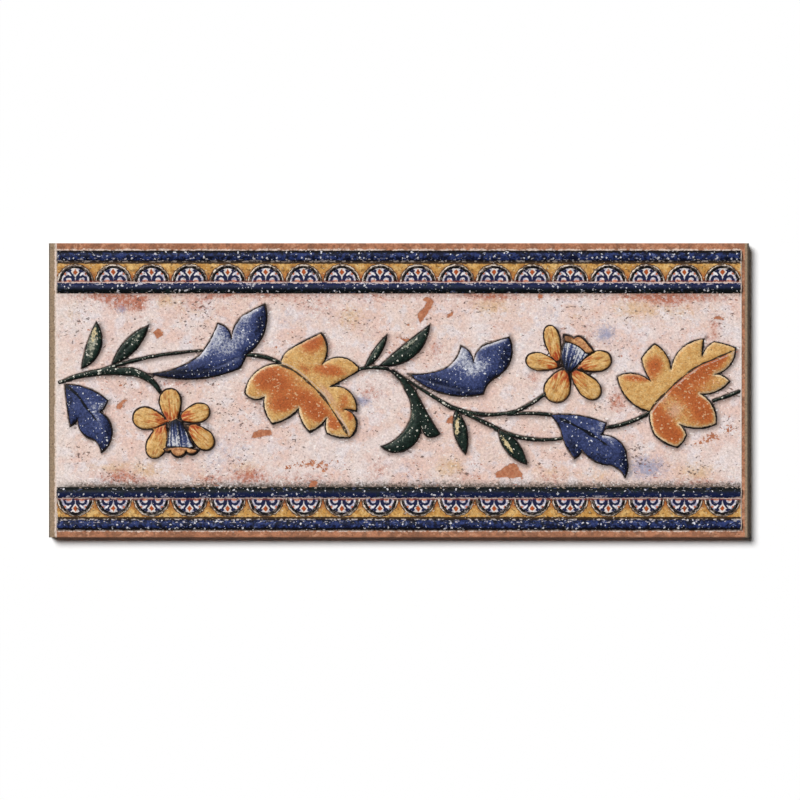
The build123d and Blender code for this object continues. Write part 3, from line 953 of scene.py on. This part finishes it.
def new_group(name, inputs, outputs):
    """Node group; a socket called Color is a colour, any other a value."""
    group = bpy.data.node_groups.new(name, "ShaderNodeTree")
    kinds = {"Color": "NodeSocketColor"}
    for label, default in inputs.items():
        kind = kinds.get(label, "NodeSocketFloat")
        group.interface.new_socket(label, in_out="INPUT", socket_type=kind).default_value = default
    for label in outputs:
        group.interface.new_socket(label, in_out="OUTPUT", socket_type=kinds.get(label, "NodeSocketFloat"))
    source = group.nodes.new("NodeGroupInput")
    return group, {label: out(source, label) for label in inputs}, group.nodes.new("NodeGroupOutput").inputs


def use_group(tree, group, values):
    """Places a group and gives its outputs by name."""
    node = add(tree, "ShaderNodeGroup", node_tree=group)
    for key, value in values.items():
        put(node.inputs[key], value)
    return {socket.name: Value(socket) for socket in node.outputs}


print("noise and groups ready")

# %% Shared effects: tone, specks and flecks
cloud, given, made = new_group("cloud", {"Size": 5.0, "Low": 0.4, "High": 0.6}, ["Mask"])
tone = noise(cloud, tile_mm(cloud), given["Size"], 3.0, 0.6)
put(made["Mask"], ramp(tone, given["Low"], given["High"]))

specks, given, made = new_group("specks", {"Cell": 2.2, "Share": 0.3, "Radius": 0.4}, ["Mask"])
place = tile_mm(specks)
wander = out(add(specks, "ShaderNodeTexNoise", {"Vector": place, "Scale": 0.9, "Detail": 2.0}), "Color")
wander = vector_calc("SCALE", {0: wander, "Scale": 1.6})
place = vector_calc("ADD", {0: place, 1: wander})
cells = add(specks, "ShaderNodeTexVoronoi", {"Vector": place, "Scale": 1.0 / given["Cell"]},
            voronoi_dimensions="2D")
lot = apart(out(cells, "Color"))
reach = given["Radius"] * (lot[1] * 1.1 + 0.3)
away = out(cells, "Distance") * given["Cell"]
chosen = calc("LESS_THAN", lot[0], given["Share"])
put(made["Mask"], ramp(away / reach, 1.15, 0.75) * chosen)

flecks, given, made = new_group("flecks", {"Size": 0.9, "Amount": 0.3}, ["Mask"])
place = vector_calc("MULTIPLY", {0: tile_mm(flecks), 1: (0.62, 1.0, 1.0)})
tone = noise(flecks, place, given["Size"], 2.0, 0.6)
bar = given["Amount"] * -0.26 + 0.76
put(made["Mask"], ramp(tone - bar, -0.015, 0.03))
print("groups:", [g.name for g in bpy.data.node_groups])

# %% Shared effects: contour, rim and spray
contour, given, made = new_group("contour", {"Edge": 1.0, "Width": 0.5, "Fray": 0.4}, ["Mask"])
edge = uneven(contour, 1.3) * given["Fray"] + given["Edge"]
pressure = uneven(contour, 6.0, 2.0, 0.5) * 3.5 + 1.0
width = given["Width"] * either(pressure, 0.4)
put(made["Mask"], ramp(edge / width, 1.25, 0.6))

rim_tone, given, made = new_group("rim_tone", {"Edge": 1.0, "Lit": 0.0, "Reach": 1.5}, ["Light", "Shade"])
edge = uneven(rim_tone, 1.1) * 1.2 + given["Edge"]
near = ramp(edge / given["Reach"], 1.0, 0.15)
put(made["Light"], near * ramp(given["Lit"], 0.0, 0.8))
put(made["Shade"], near * ramp(given["Lit"], 0.1, -0.8))

spray, given, made = new_group("spray", {"Value": 0.0, "Amount": 1.0, "Size": 0.8}, ["Value"])
dust = noise(spray, tile_mm(spray), given["Size"], 3.0, 0.75) - 0.5
put(made["Value"], dust * given["Amount"] + given["Value"])
print("groups:", [g.name for g in bpy.data.node_groups])

# %% Shared effects: grain and skin
inputs = {"Color": paint(200, 200, 200), "Dark": 0.8, "Light": 1.15, "Size": 0.7}
grit, given, made = new_group("fine_grain", inputs, ["Color"])
turned = out(add(grit, "ShaderNodeVectorRotate", {"Vector": tile_mm(grit), "Angle": 0.6}))
tone = noise(grit, turned, given["Size"], 3.0, 0.75)
values = {"Value": tone, "From Min": 0.3, "From Max": 0.7, "To Min": given["Dark"], "To Max": given["Light"]}
level = out(add(grit, "ShaderNodeMapRange", values, clamp=False))
values = {0: 1.0, 6: given["Color"], 7: level}
put(made["Color"], out(add(grit, "ShaderNodeMix", values, data_type="RGBA", blend_type="MULTIPLY"), 2))

skin, given, made = new_group("glaze_skin", {"Grit": 1.0}, ["Height", "Roughness"])
place = tile_mm(skin)
fine = noise(skin, place, 0.5, 3.0, 0.65)
broad = noise(skin, place, 4.0, 2.0)
put(made["Height"], fine * given["Grit"] + broad)
put(made["Roughness"], broad * 0.15 + (fine * 0.25 + 0.3))
print("groups:", [g.name for g in bpy.data.node_groups])

# %% [markdown]
# ## From drawing to glaze
# All glazes end alike. The drawing gives the colour; the skin of the glaze and anything that stands out or
# is worn away give the height of a bump; and the bare clay is rougher than the glass on it.

# %% Glaze materials begin and end


def new_glaze(name):
    material = bpy.data.materials.new(name)
    material.use_nodes = True
    tile_mesh.materials.append(material)
    print("glaze:", name)
    return material.node_tree


def fire(tree, colour, depth=None, bare=None, grit=1.0, bump=0.25):
    """Ends a glaze: colour, height in millimetres taken away, share of bare clay."""
    surface = tree.nodes["Principled BSDF"]
    parts = use_group(tree, skin, {"Grit": grit})
    high = parts["Height"] * 0.05
    rough = parts["Roughness"]
    if depth is not None:
        high = high - depth
    if bare is not None:
        rough = rough + bare * 0.4
    values = {"Height": high, "Strength": bump, "Distance": 1.0 * MM}
    put(surface.inputs["Normal"], out(add(tree, "ShaderNodeBump", values)))
    put(surface.inputs["Base Color"], colour)
    put(surface.inputs["Roughness"], rough)
    surface.inputs["Specular IOR Level"].default_value = 0.12


def grained(tree, colour, dark, light, size=0.8):
    return use_group(tree, grit, {"Color": colour, "Dark": dark, "Light": light, "Size": size})["Color"]


def cloudy(tree, size, low, high):
    return use_group(tree, cloud, {"Size": size, "Low": low, "High": high})["Mask"]


def specked(tree, cell, share, radius):
    return use_group(tree, specks, {"Cell": cell, "Share": share, "Radius": radius})["Mask"]


def flecked(tree, size, amount):
    return use_group(tree, flecks, {"Size": size, "Amount": amount})["Mask"]


def contoured(tree, edge, width, fray):
    return use_group(tree, contour, {"Edge": edge, "Width": width, "Fray": fray})["Mask"]


def sprayed(tree, value, amount, size=0.8):
    return use_group(tree, spray, {"Value": value, "Amount": amount, "Size": size})["Value"]


def rimmed(tree, edge, lit, reach):
    """Masks of the light and of the shade inside an outline."""
    parts = use_group(tree, rim_tone, {"Edge": edge, "Lit": lit, "Reach": reach})
    return parts["Light"], parts["Shade"]


def drawing(tree):
    """What is stored on the points: distance to the outline, the grain and the washes."""
    edge = out(add(tree, "ShaderNodeAttribute", attribute_name="edge_mm"), "Fac")
    return edge, stored(tree, "grain"), stored(tree, "wash")


INK = paint(26, 22, 22)
CREAM = paint(232, 220, 212)
TERRACOTTA = paint(176, 110, 80)
print("inks mixed")

# %% [markdown]
# ## The paint of the petals
# The brush laid the petals as fuller ovals than the moulded ones, so their paint also runs over the flanks
# and the ground between them. Three glazes need it, so it is a group that gives a colour and the mask to
# lay it by. Streaks follow the petal: a noise is drawn out along it, and the foot of the petal glows red.

# %% Shared paint: petals
petals, given, made = new_group("petal_paint", {}, ["Color", "Mask"])
inside, across, along = stored(petals, "bloom")
lit_side = stored(petals, "grain")[2]
place = apart(tile_mm(petals))
drift = (place[1] * 1.7 + place[0]) * 0.05
drawn_out = out(add(petals, "ShaderNodeCombineXYZ", {0: across, 1: along * 0.16, 2: drift}))
streak = noise(petals, drawn_out, 0.9, 2.0, 0.6) - 0.5
heat = streak * 3.4 + ramp(along, 10.5, 0.5)
colour = mix(cloudy(petals, 2.0, 0.38, 0.62), paint(198, 148, 82), paint(218, 176, 114))
colour = mix(ramp(streak, 0.04, 0.14) * 0.65, colour, paint(136, 86, 46))
colour = mix(ramp(streak, -0.07, -0.16) * 0.5, colour, paint(232, 200, 148))
colour = mix(ramp(heat, 0.25, 0.85), colour, paint(194, 118, 60))
colour = mix(ramp(heat, 0.65, 1.15), colour, paint(164, 66, 34))
bright, dim = rimmed(petals, inside, lit_side, 1.4)
colour = mix(bright * 0.4, colour, paint(228, 196, 140))
colour = mix(dim * 0.75, colour, paint(100, 62, 32))
colour = mix(contoured(petals, inside, 0.45, 0.9), colour, paint(44, 30, 24))
put(made["Color"], grained(petals, colour, 0.66, 1.26))
put(made["Mask"], ramp(inside, -0.5, -0.25))
print("petal paint mixed")

# %% Bare clay: margin, sides and back
tree = new_glaze("bare_clay")
place = apart(tile_mm(tree))
x, y = abs(place[0]), abs(place[1])
fray = uneven(tree, 1.8)
left = ramp(place[0], -150.0, -160.0)
colour = mix(cloudy(tree, 8.0, 0.38, 0.62), paint(154, 104, 78), paint(182, 124, 94))
colour = mix(cloudy(tree, 3.4, 0.47, 0.65) * 0.8, colour, paint(134, 94, 74))
colour = mix(cloudy(tree, 2.2, 0.54, 0.66) * 0.7, colour, paint(204, 152, 122))
grey_from = left * -1.3 + 164.5
grey = ramp(fray * 0.8 + x - grey_from, -0.3, 0.3)
colour = mix(grey * 0.9, colour, paint(152, 133, 110))
outside = ramp(place[2], 7.6, 7.9)
lip_y = ramp(fray * 2.2 + y, 67.35, 67.05)
inside_x = ramp(fray * 1.2 + x, 163.6, 163.3)
beside = ramp(y, 66.4, 66.5)
lip_left = left * ramp(fray * 1.6 + x, 163.9, 163.5)
lip_left = lip_left * ramp(x, 162.6, 162.8)
lip_y = lip_y * inside_x * beside * cloudy(tree, 2.2, 0.36, 0.54)
lip = either(lip_y, lip_left)
colour = mix(lip * outside * 0.85, colour, paint(220, 202, 190))
edge_from = left * 0.3 + 165.65
hairline = ramp(x - edge_from, -0.1, 0.15) * outside
colour = mix(hairline * 0.85, colour, paint(60, 58, 53))
colour = mix(flecked(tree, 1.1, 0.36) * 0.6, colour, paint(92, 64, 50))
fire(tree, grained(tree, colour, 0.66, 1.3, 0.9), bare=1.0, grit=2.5, bump=0.35)

# %% Cream ground
tree = new_glaze("field_glaze")
place = apart(tile_mm(tree))
# worn holds the distance to a chip, the scuffs, and how much the nearest outline looks to the lamp
edge, worn, stain = drawing(tree)
pitted, painted_shade = stored(tree, "marks")[:2]
fray = uneven(tree, 1.3)
colour = mix(cloudy(tree, 26.0, 0.38, 0.62), paint(233, 215, 209), paint(230, 204, 192))
colour = mix(cloudy(tree, 13.0, 0.44, 0.6) * 0.55, colour, paint(228, 192, 180))
colour = mix(cloudy(tree, 8.0, 0.5, 0.62) * 0.6, colour, paint(232, 224, 226))
colour = mix(cloudy(tree, 3.6, 0.52, 0.68) * 0.28, colour, paint(224, 182, 168))
colour = mix(cloudy(tree, 2.0, 0.54, 0.66) * 0.22, colour, paint(206, 196, 202))
blue = ramp(sprayed(tree, stain[2], 1.8, 1.5), 0.02, 0.95)
colour = mix(blue * 0.85, colour, paint(146, 150, 178))
ochre = ramp(sprayed(tree, stain[1], 2.0, 2.4), 0.05, 1.0)
colour = mix(ochre * 0.75, colour, paint(214, 174, 128))
top_side = ramp(place[1], 40.0, 45.0)
rust = top_side * 0.28 + stain[0]
rust = ramp(sprayed(tree, rust, 2.2, 2.0), 0.1, 1.05)
rust = rust * (cloudy(tree, 1.5, 0.5, 0.62) * -0.5 + 0.95)
colour = mix(rust, colour, paint(182, 108, 82))
# Painted shade on the ground under the top rail and, deeper, over the bottom rail
rail_y = sprayed(tree, place[1], 8.0, 0.9)
shade_under_top_rail = ramp(rail_y, 43.4, 46.4)
colour = mix(shade_under_top_rail * 0.55, colour, paint(112, 84, 70))
shade_over_bottom_rail = calc("POWER", ramp(rail_y, -41.6, -46.2), 1.4)
colour = mix(shade_over_bottom_rail * 0.95, colour, paint(78, 68, 58))
# Painted shade beside the motifs, wider and darker on the side away from the lamp
away = ramp(worn[2], 0.5, -0.6)
reach = away * 2.2 + 0.9
shade = ramp((fray * 0.6 + edge) / reach, 1.0, 0.0)
shade = shade * (away * 0.42 + 0.32)
colour = mix(shade, colour, paint(78, 62, 56))
# Painted shade from the dabs
colour = mix(ramp(sprayed(tree, painted_shade, 1.5, 1.4), 0.1, 1.0) * 0.8, colour, paint(78, 70, 68))
stained = (stain[0] + stain[1]) * 0.2
drift = cloudy(tree, 12.0, 0.46, 0.62) * 0.2 + stained
pits = flecked(tree, 1.15, pitted * 0.42 + drift + 0.25)
red_flecks = flecked(tree, 1.7, drift + 0.18)
colour = mix(flecked(tree, 1.3, 0.4) * 0.6, colour, paint(248, 244, 240))
colour = mix(red_flecks * 0.75, colour, paint(172, 104, 82))
colour = mix(pits * 0.8, colour, paint(88, 66, 60))
scuff = ramp(sprayed(tree, worn[1], 3.4, 1.9), 0.78, 0.86)
scuff = scuff * ramp(worn[1], 0.12, 0.3)
chip_edge = fray * 1.9 + worn[0]
chip = either(ramp(chip_edge, 0.12, -0.12), scuff)
clay = mix(cloudy(tree, 1.6, 0.4, 0.65), TERRACOTTA, paint(194, 132, 100))
colour = mix(chip, colour, clay)
chip_rim = ramp(chip_edge, 0.5, 0.1) * ramp(chip_edge, -0.15, 0.1)
colour = mix(chip_rim * 0.35, colour, paint(120, 82, 66))
pale_left = ramp(sprayed(tree, place[0], 30.0, 5.0), -150.0, -162.0)
colour = mix(pale_left * 0.5, colour, paint(236, 222, 214))
white_end = ramp(fray * 1.2 + abs(place[0]), 162.0, 162.4)
colour = mix(white_end * 0.6, colour, CREAM)
line = contoured(tree, edge, 0.26, 0.7) * (away * 0.5 + 0.5)
colour = mix(line, colour, INK)
petal = use_group(tree, petals, {})
depth = chip * 0.25 + pits * 0.3
colour = mix(petal["Mask"], grained(tree, colour, 0.72, 1.2, 0.9), petal["Color"])
fire(tree, colour, depth, chip, 1.5, 0.4)

# %% Bead rails
tree = new_glaze("rail_glaze")
place = apart(tile_mm(tree))
x, y = abs(place[0]), abs(place[1])
fray = uneven(tree, 1.6)
rough_y = fray * 2.0 + y
inner = calc("LESS_THAN", y, 56.0)
blue = mix(cloudy(tree, 1.7, 0.4, 0.62), paint(13, 18, 42), paint(42, 56, 106))
blue = mix(flecked(tree, 1.3, 0.5) * 0.7, blue, paint(100, 112, 156))
blue = mix(cloudy(tree, 3.2, 0.52, 0.66) * 0.85, blue, paint(12, 14, 22))
blue = mix(ramp(rough_y, 64.9, 65.6), blue, paint(18, 16, 18))
dotted = flecked(tree, 1.6, 0.6) * ramp(y, 61.9, 62.2) * ramp(y, 63.0, 62.7)
blue = mix(ramp(rough_y, 62.0, 61.6), blue, paint(40, 34, 34))
pale_line = ramp(rough_y, 61.9, 61.5) * cloudy(tree, 2.0, 0.5, 0.58)
pale_line = either(pale_line, dotted)
blue = mix(pale_line * 0.85, blue, paint(196, 188, 188))
dark = mix(ramp(rough_y, 47.4, 49.8), paint(14, 18, 20), paint(24, 33, 70))
dark = mix(flecked(tree, 1.4, 0.45) * 0.6, dark, paint(76, 86, 120))
dark = mix(cloudy(tree, 3.0, 0.56, 0.7) * 0.7, dark, paint(26, 42, 40))
lilac = flecked(tree, 1.7, 0.62) * ramp(rough_y, 49.6, 50.6)
dark = mix(lilac * 0.85, dark, paint(196, 190, 202))
teeth = flecked(tree, 1.5, 0.66) * ramp(y, 47.0, 46.3)
dark = mix(teeth * 0.8, dark, paint(190, 170, 156))
colour = mix(inner, blue, dark)
ticks = flecked(tree, 2.6, 0.34) * cloudy(tree, 9.0, 0.45, 0.6)
white = either(specked(tree, 2.3, 0.3, 0.38), ticks)
white = either(white, flecked(tree, 1.1, 0.26) * 0.8)
colour = mix(white * 0.9, colour, paint(218, 216, 220))
pink_line = ramp(rough_y, 50.85, 51.05) * inner * cloudy(tree, 4.0, 0.34, 0.46)
colour = mix(pink_line * 0.9, colour, paint(212, 188, 178))
lip = ramp(fray + y, 66.3, 66.55)
colour = mix(lip * cloudy(tree, 2.2, 0.36, 0.54) * 0.8, colour, paint(220, 202, 190))
end = ramp(fray * 1.6 + x, 162.2, 162.6)
colour = mix(end * 0.8, colour, paint(196, 182, 170))
fire(tree, grained(tree, colour, 0.5, 1.45, 0.7), white * 0.12, None, 1.2, 0.3)

# %% [markdown]
# ## The frieze of half hoops
# One ornament, thirty-six times. Only one is drawn: the length is wrapped at the pitch of the hoops, and
# the width is measured outwards from the inner rail, so the same nodes serve both friezes. Radii make the
# rings, and short strokes make the palmette: two hooks, two leaves and a lozenge in a pale drop.

# %% Frieze: rings
HOOP_PITCH = 18.1
HOOP_FOOT = 51.3
STROKE_SOFT = 0.16
tree = new_glaze("frieze_glaze")
place = apart(tile_mm(tree))
y = abs(place[1])
wobble = uneven(tree, 1.3, 2.0, 0.5)
u = calc("WRAP", place[0] + PANEL_END, HOOP_PITCH, 0.0)
u = abs(u - HOOP_PITCH / 2)
u = wobble * 0.9 + u
v = wobble * 0.8 + (y - HOOP_FOOT)


def from_point(px, py):
    """Distance to a point of the ornament."""
    du, dv = u - px, v - py
    return calc("SQRT", du * du + dv * dv)


def from_stroke(px, py, qx, qy):
    """Distance to a straight stroke of the ornament."""
    way_x, way_y = qx - px, qy - py
    length = way_x * way_x + way_y * way_y
    du, dv = u - px, v - py
    share = out(add(tree, "ShaderNodeClamp", {"Value": du * (way_x / length) + dv * (way_y / length)}))
    off_u, off_v = du - share * way_x, dv - share * way_y
    return calc("SQRT", off_u * off_u + off_v * off_v)


def stroke(distance, half):
    return ramp(distance, half + STROKE_SOFT, half - STROKE_SOFT)


radius = from_point(0.0, 0.0)
valley = ramp(v, 6.4, 1.5) * cloudy(tree, 2.2, 0.2, 0.55)
# Painted shade in the ochre ground next to each hoop
beside = ramp(radius, 10.6, 8.9) * cloudy(tree, 1.8, 0.36, 0.62)
colour = mix(cloudy(tree, 2.4, 0.4, 0.66), paint(194, 142, 72), paint(220, 180, 116))
colour = mix(beside * 0.75, colour, paint(144, 88, 46))
colour = mix(valley, colour, paint(166, 88, 44))
colour = mix(ramp(v, 2.2, 0.8) * 0.8, colour, paint(72, 42, 28))
colour = mix(cloudy(tree, 1.7, 0.55, 0.64) * 0.75, colour, paint(96, 64, 36))
colour = mix(flecked(tree, 1.4, 0.4) * 0.7, colour, paint(236, 214, 178))
colour = mix(ramp(radius, 8.95, 8.75), colour, paint(46, 32, 26))
cream_ring = mix(cloudy(tree, 2.0, 0.42, 0.56), paint(116, 94, 78), paint(222, 206, 190))
colour = mix(ramp(radius, 8.6, 8.45), colour, cream_ring)
ring = mix(cloudy(tree, 1.7, 0.52, 0.64), paint(20, 18, 22), paint(104, 92, 86))
colour = mix(ramp(radius, 8.05, 7.9), colour, ring)
print("rings drawn at a pitch of", HOOP_PITCH, "mm")

# %% Frieze: palmette
outwards = v
u = u * 0.89
v = v * 0.94 - 0.3
inside = mix(cloudy(tree, 1.6, 0.42, 0.6), paint(224, 216, 216), paint(168, 164, 184))
hook = stroke(abs(from_point(2.75, 0.7) - 1.75), 0.6)
curl = stroke(from_point(4.35, 0.85), 0.6)
stem = stroke(from_stroke(0.45, 0.0, 0.9, 2.4), 0.55)
leaf = stroke(from_stroke(0.9, 2.4, 2.15, 4.9), 0.7)
tuft = stroke(from_stroke(2.9, 4.6, 3.5, 5.4), 0.45)
inside = mix(either(hook, curl, stem, leaf, tuft), inside, paint(22, 28, 66))
glow = stroke(from_stroke(2.2, 3.0, 3.2, 3.9), 0.3)
inside = mix(glow, inside, paint(236, 232, 232))
tall = abs(v - 4.3)
lozenge = u * (1 / 1.1) + tall * (1 / 1.45)
inside = mix(ramp(lozenge, 1.7, 1.45), inside, paint(226, 216, 208))
inside = mix(ramp(lozenge, 1.1, 0.85), inside, paint(172, 82, 38))
inside = mix(stroke(from_point(4.4, 3.6), 0.55), inside, paint(190, 112, 82))
inside = mix(ramp(v, 1.3, 0.5) * ramp(from_point(2.75, 0.0), 1.3, 0.9), inside, paint(214, 140, 110))
inside = mix(cloudy(tree, 1.5, 0.6, 0.67) * 0.85, inside, paint(36, 34, 40))
colour = mix(ramp(radius, 6.8, 6.6), colour, inside)
red = ramp(outwards, 1.0, 0.75) * cloudy(tree, 1.8, 0.36, 0.54)
colour = mix(red * 0.85, colour, paint(120, 52, 42))
pink_line = ramp(outwards, 0.42, 0.26) * cloudy(tree, 3.0, 0.4, 0.52)
colour = mix(pink_line, colour, paint(206, 180, 168))
colour = mix(ramp(outwards, 8.75, 9.0), colour, paint(54, 38, 26))
quirk = ramp(outwards, 9.5, 9.7) * cloudy(tree, 2.0, 0.5, 0.6)
colour = mix(quirk * 0.8, colour, paint(150, 130, 112))
end = ramp(wobble * 1.6 + abs(place[0]), 162.2, 162.6)
colour = mix(end * 0.8, colour, paint(196, 182, 170))
worn = flecked(tree, 1.2, 0.26) * 0.7
colour = mix(worn, colour, CREAM)
fire(tree, grained(tree, colour, 0.6, 1.3, 0.8), worn * 0.1, None, 1.2, 0.3)
print("palmettes drawn in", len(hoop_groups), "hoops")

# %% [markdown]
# ## The foliage
# Contours are drawn on the flanks of every form, dark away from the lamp and thin towards it, and pale
# light is left inside the rim as a brush would leave it. The blue leaves are airbrushed from lavender to
# navy and strewn with white; the ochre leaves are two-toned about the midrib; the greens are nearly black.

# %% Contours
tree = new_glaze("contour_glaze")
lines = drawing(tree)[1]
# Paler where the flank looks to the lamp: painted light on the contour
thin = ramp(lines[2], -0.9, 0.9) * 0.45 + 0.2
colour = mix(cloudy(tree, 1.6, 0.45, 0.75), INK, paint(62, 48, 42))
colour = mix(thin * cloudy(tree, 2.6, 0.47, 0.6), colour, paint(138, 116, 104))
petal = use_group(tree, petals, {})
colour = mix(petal["Mask"], grained(tree, colour, 0.7, 1.3), petal["Color"])
fire(tree, colour, None, None, 1.0, 0.2)

# %% Blue leaves
tree = new_glaze("blue_glaze")
edge, rib, tint = drawing(tree)
light = tint[0] - tint[1] * 0.8
light = sprayed(tree, light, 3.0, 1.1)
colour = mix(ramp(light, -1.0, 0.5), paint(10, 15, 36), paint(60, 71, 116))
colour = mix(ramp(light, 0.3, 1.4), colour, paint(192, 194, 204))
bright, dim = rimmed(tree, edge, rib[2], 1.7)
colour = mix(bright * ramp(tint[0], 0.05, 0.5) * 0.8, colour, paint(214, 210, 214))
colour = mix(dim * 0.6, colour, paint(14, 16, 30))
rib_line = contoured(tree, abs(rib[0]), 0.6, 0.6)
colour = mix(rib_line * tint[2], colour, paint(10, 12, 22))
beside = contoured(tree, abs(rib[0] + 1.0), 0.45, 0.6)
unlined = (1.0 - tint[2]) * (1.0 - tint[1]) * 0.3
colour = mix(beside * unlined, colour, paint(140, 146, 174))
white = either(specked(tree, 2.3, 0.22, 0.32), specked(tree, 1.3, 0.2, 0.22) * 0.8)
colour = mix(white * 0.9, colour, paint(226, 227, 232))
colour = mix(contoured(tree, edge, 0.24, 0.9), colour, INK)
fire(tree, grained(tree, colour, 0.55, 1.45), white * -0.05, None, 1.2, 0.25)

# %% Ochre leaves
tree = new_glaze("ochre_glaze")
edge, rib, tint = drawing(tree)
heat = sprayed(tree, tint[0], 1.1, 1.0)
colour = mix(cloudy(tree, 2.4, 0.38, 0.62), paint(200, 150, 86), paint(216, 174, 112))
colour = mix(ramp(heat, 0.1, 0.75), colour, paint(186, 104, 54))
colour = mix(ramp(heat, 0.65, 1.35), colour, paint(160, 74, 36))
colour = mix(ramp(sprayed(tree, tint[2], 0.7, 1.6), 0.1, 0.9) * 0.75, colour, paint(208, 164, 140))
hem = ramp(sprayed(tree, edge, 3.0, 1.3), 1.3, 0.4) * tint[1]
colour = mix(hem * 0.8, colour, paint(234, 208, 170))
bright, dim = rimmed(tree, edge, rib[2], 1.6)
colour = mix(bright * 0.5, colour, paint(234, 208, 166))
colour = mix(dim * 0.5, colour, paint(96, 58, 34))
white = specked(tree, 2.2, 0.3, 0.36) * tint[1]
colour = mix(white * 0.7, colour, paint(232, 190, 154))
rib_line = contoured(tree, abs(rib[0]), 0.5, 0.5)
beside = contoured(tree, rib[1], 0.36, 0.6)
colour = mix(beside * 0.6, colour, paint(196, 178, 168))
colour = mix(rib_line * 0.95, colour, paint(40, 28, 24))
colour = mix(flecked(tree, 1.5, 0.4) * 0.5, colour, paint(132, 84, 48))
colour = mix(flecked(tree, 1.3, 0.46) * 0.5, colour, paint(236, 206, 160))
colour = mix(contoured(tree, edge, 0.24, 0.9), colour, INK)
fire(tree, grained(tree, colour, 0.62, 1.3), white * -0.05, None, 1.2, 0.25)

# %% Green leaves and stems
tree = new_glaze("green_glaze")
edge, rib, tint = drawing(tree)
light = sprayed(tree, tint[0], 2.8, 1.2)
colour = mix(ramp(light, -0.5, 0.6), paint(8, 17, 15), paint(32, 50, 42))
colour = mix(ramp(light, 0.45, 1.1), colour, paint(164, 162, 144))
colour = mix(ramp(sprayed(tree, tint[1], 2.2, 1.2), 0.4, 0.75), colour, paint(210, 190, 146))
bright, dim = rimmed(tree, edge, rib[2], 0.9)
colour = mix(bright * 0.3, colour, paint(120, 124, 110))
white = either(specked(tree, 2.2, 0.28, 0.36), specked(tree, 1.2, 0.16, 0.24) * 0.8)
bits = flecked(tree, 2.0, 0.5) * tint[2]
white = either(white, bits)
colour = mix(white * 0.9, colour, paint(222, 218, 204))
colour = mix(contoured(tree, edge, 0.16, 0.4), colour, paint(14, 18, 18))
fire(tree, grained(tree, colour, 0.6, 1.4), white * -0.05, None, 1.2, 0.25)

# %% Petals
tree = new_glaze("petal_glaze")
fire(tree, use_group(tree, petals, {})["Color"], None, None, 1.0, 0.25)

# %% Trumpets
tree = new_glaze("trumpet_glaze")
edge, part = drawing(tree)[:2]
drawn_out = out(add(tree, "ShaderNodeCombineXYZ", {0: part[0], 1: part[1] * 0.12}))
streak = noise(tree, drawn_out, 0.2, 2.0, 0.6) - 0.5
light = streak * 3.0 + (part[1] - 0.2)
light = sprayed(tree, light, 1.4, 1.0)
colour = mix(ramp(light, -0.2, 0.6), paint(12, 16, 34), paint(56, 68, 112))
colour = mix(ramp(light, 0.5, 0.9), colour, paint(206, 206, 210))
ridge = sprayed(tree, calc("COSINE", part[0] * PLEAT_TURN), 2.2, 1.3)
ridge = ramp(ridge, 0.84, 1.06) * ramp(part[1], 0.1, 0.6) * 0.75
colour = mix(ridge, colour, paint(224, 222, 218))
# Painted shade on both sides of the trumpet, where its form turns away
shaded_sides = ramp(sprayed(tree, abs(part[0]), 0.8, 1.2), 0.62, 1.0)
colour = mix(shaded_sides * 0.4, colour, paint(18, 22, 40))
colour = mix(ramp(part[1], 0.34, 0.05) * 0.75, colour, paint(18, 20, 30))
colour = mix(contoured(tree, edge, 0.35, 0.4), colour, INK)
fire(tree, grained(tree, colour, 0.66, 1.3), None, None, 1.0, 0.25)

# %% Frills
tree = new_glaze("frill_glaze")
edge, lines = drawing(tree)[:2]
colour = mix(cloudy(tree, 1.6, 0.35, 0.65), paint(222, 168, 116), paint(164, 108, 70))
colour = mix(cloudy(tree, 0.9, 0.57, 0.7) * 0.6, colour, paint(112, 70, 46))
dim = rimmed(tree, edge, lines[2], 1.2)[1]
colour = mix(dim * 0.6, colour, paint(92, 56, 34))
rolled = ramp(sprayed(tree, lines[1], 8.0, 1.3), 5.5, 2.5)
colour = mix(rolled * 0.7, colour, paint(84, 52, 32))
colour = mix(contoured(tree, edge, 0.25, 0.4), colour, paint(48, 30, 22))
fire(tree, grained(tree, colour, 0.7, 1.25), None, None, 1.0, 0.25)
print("glazes:", [m.name for m in tile_mesh.materials])
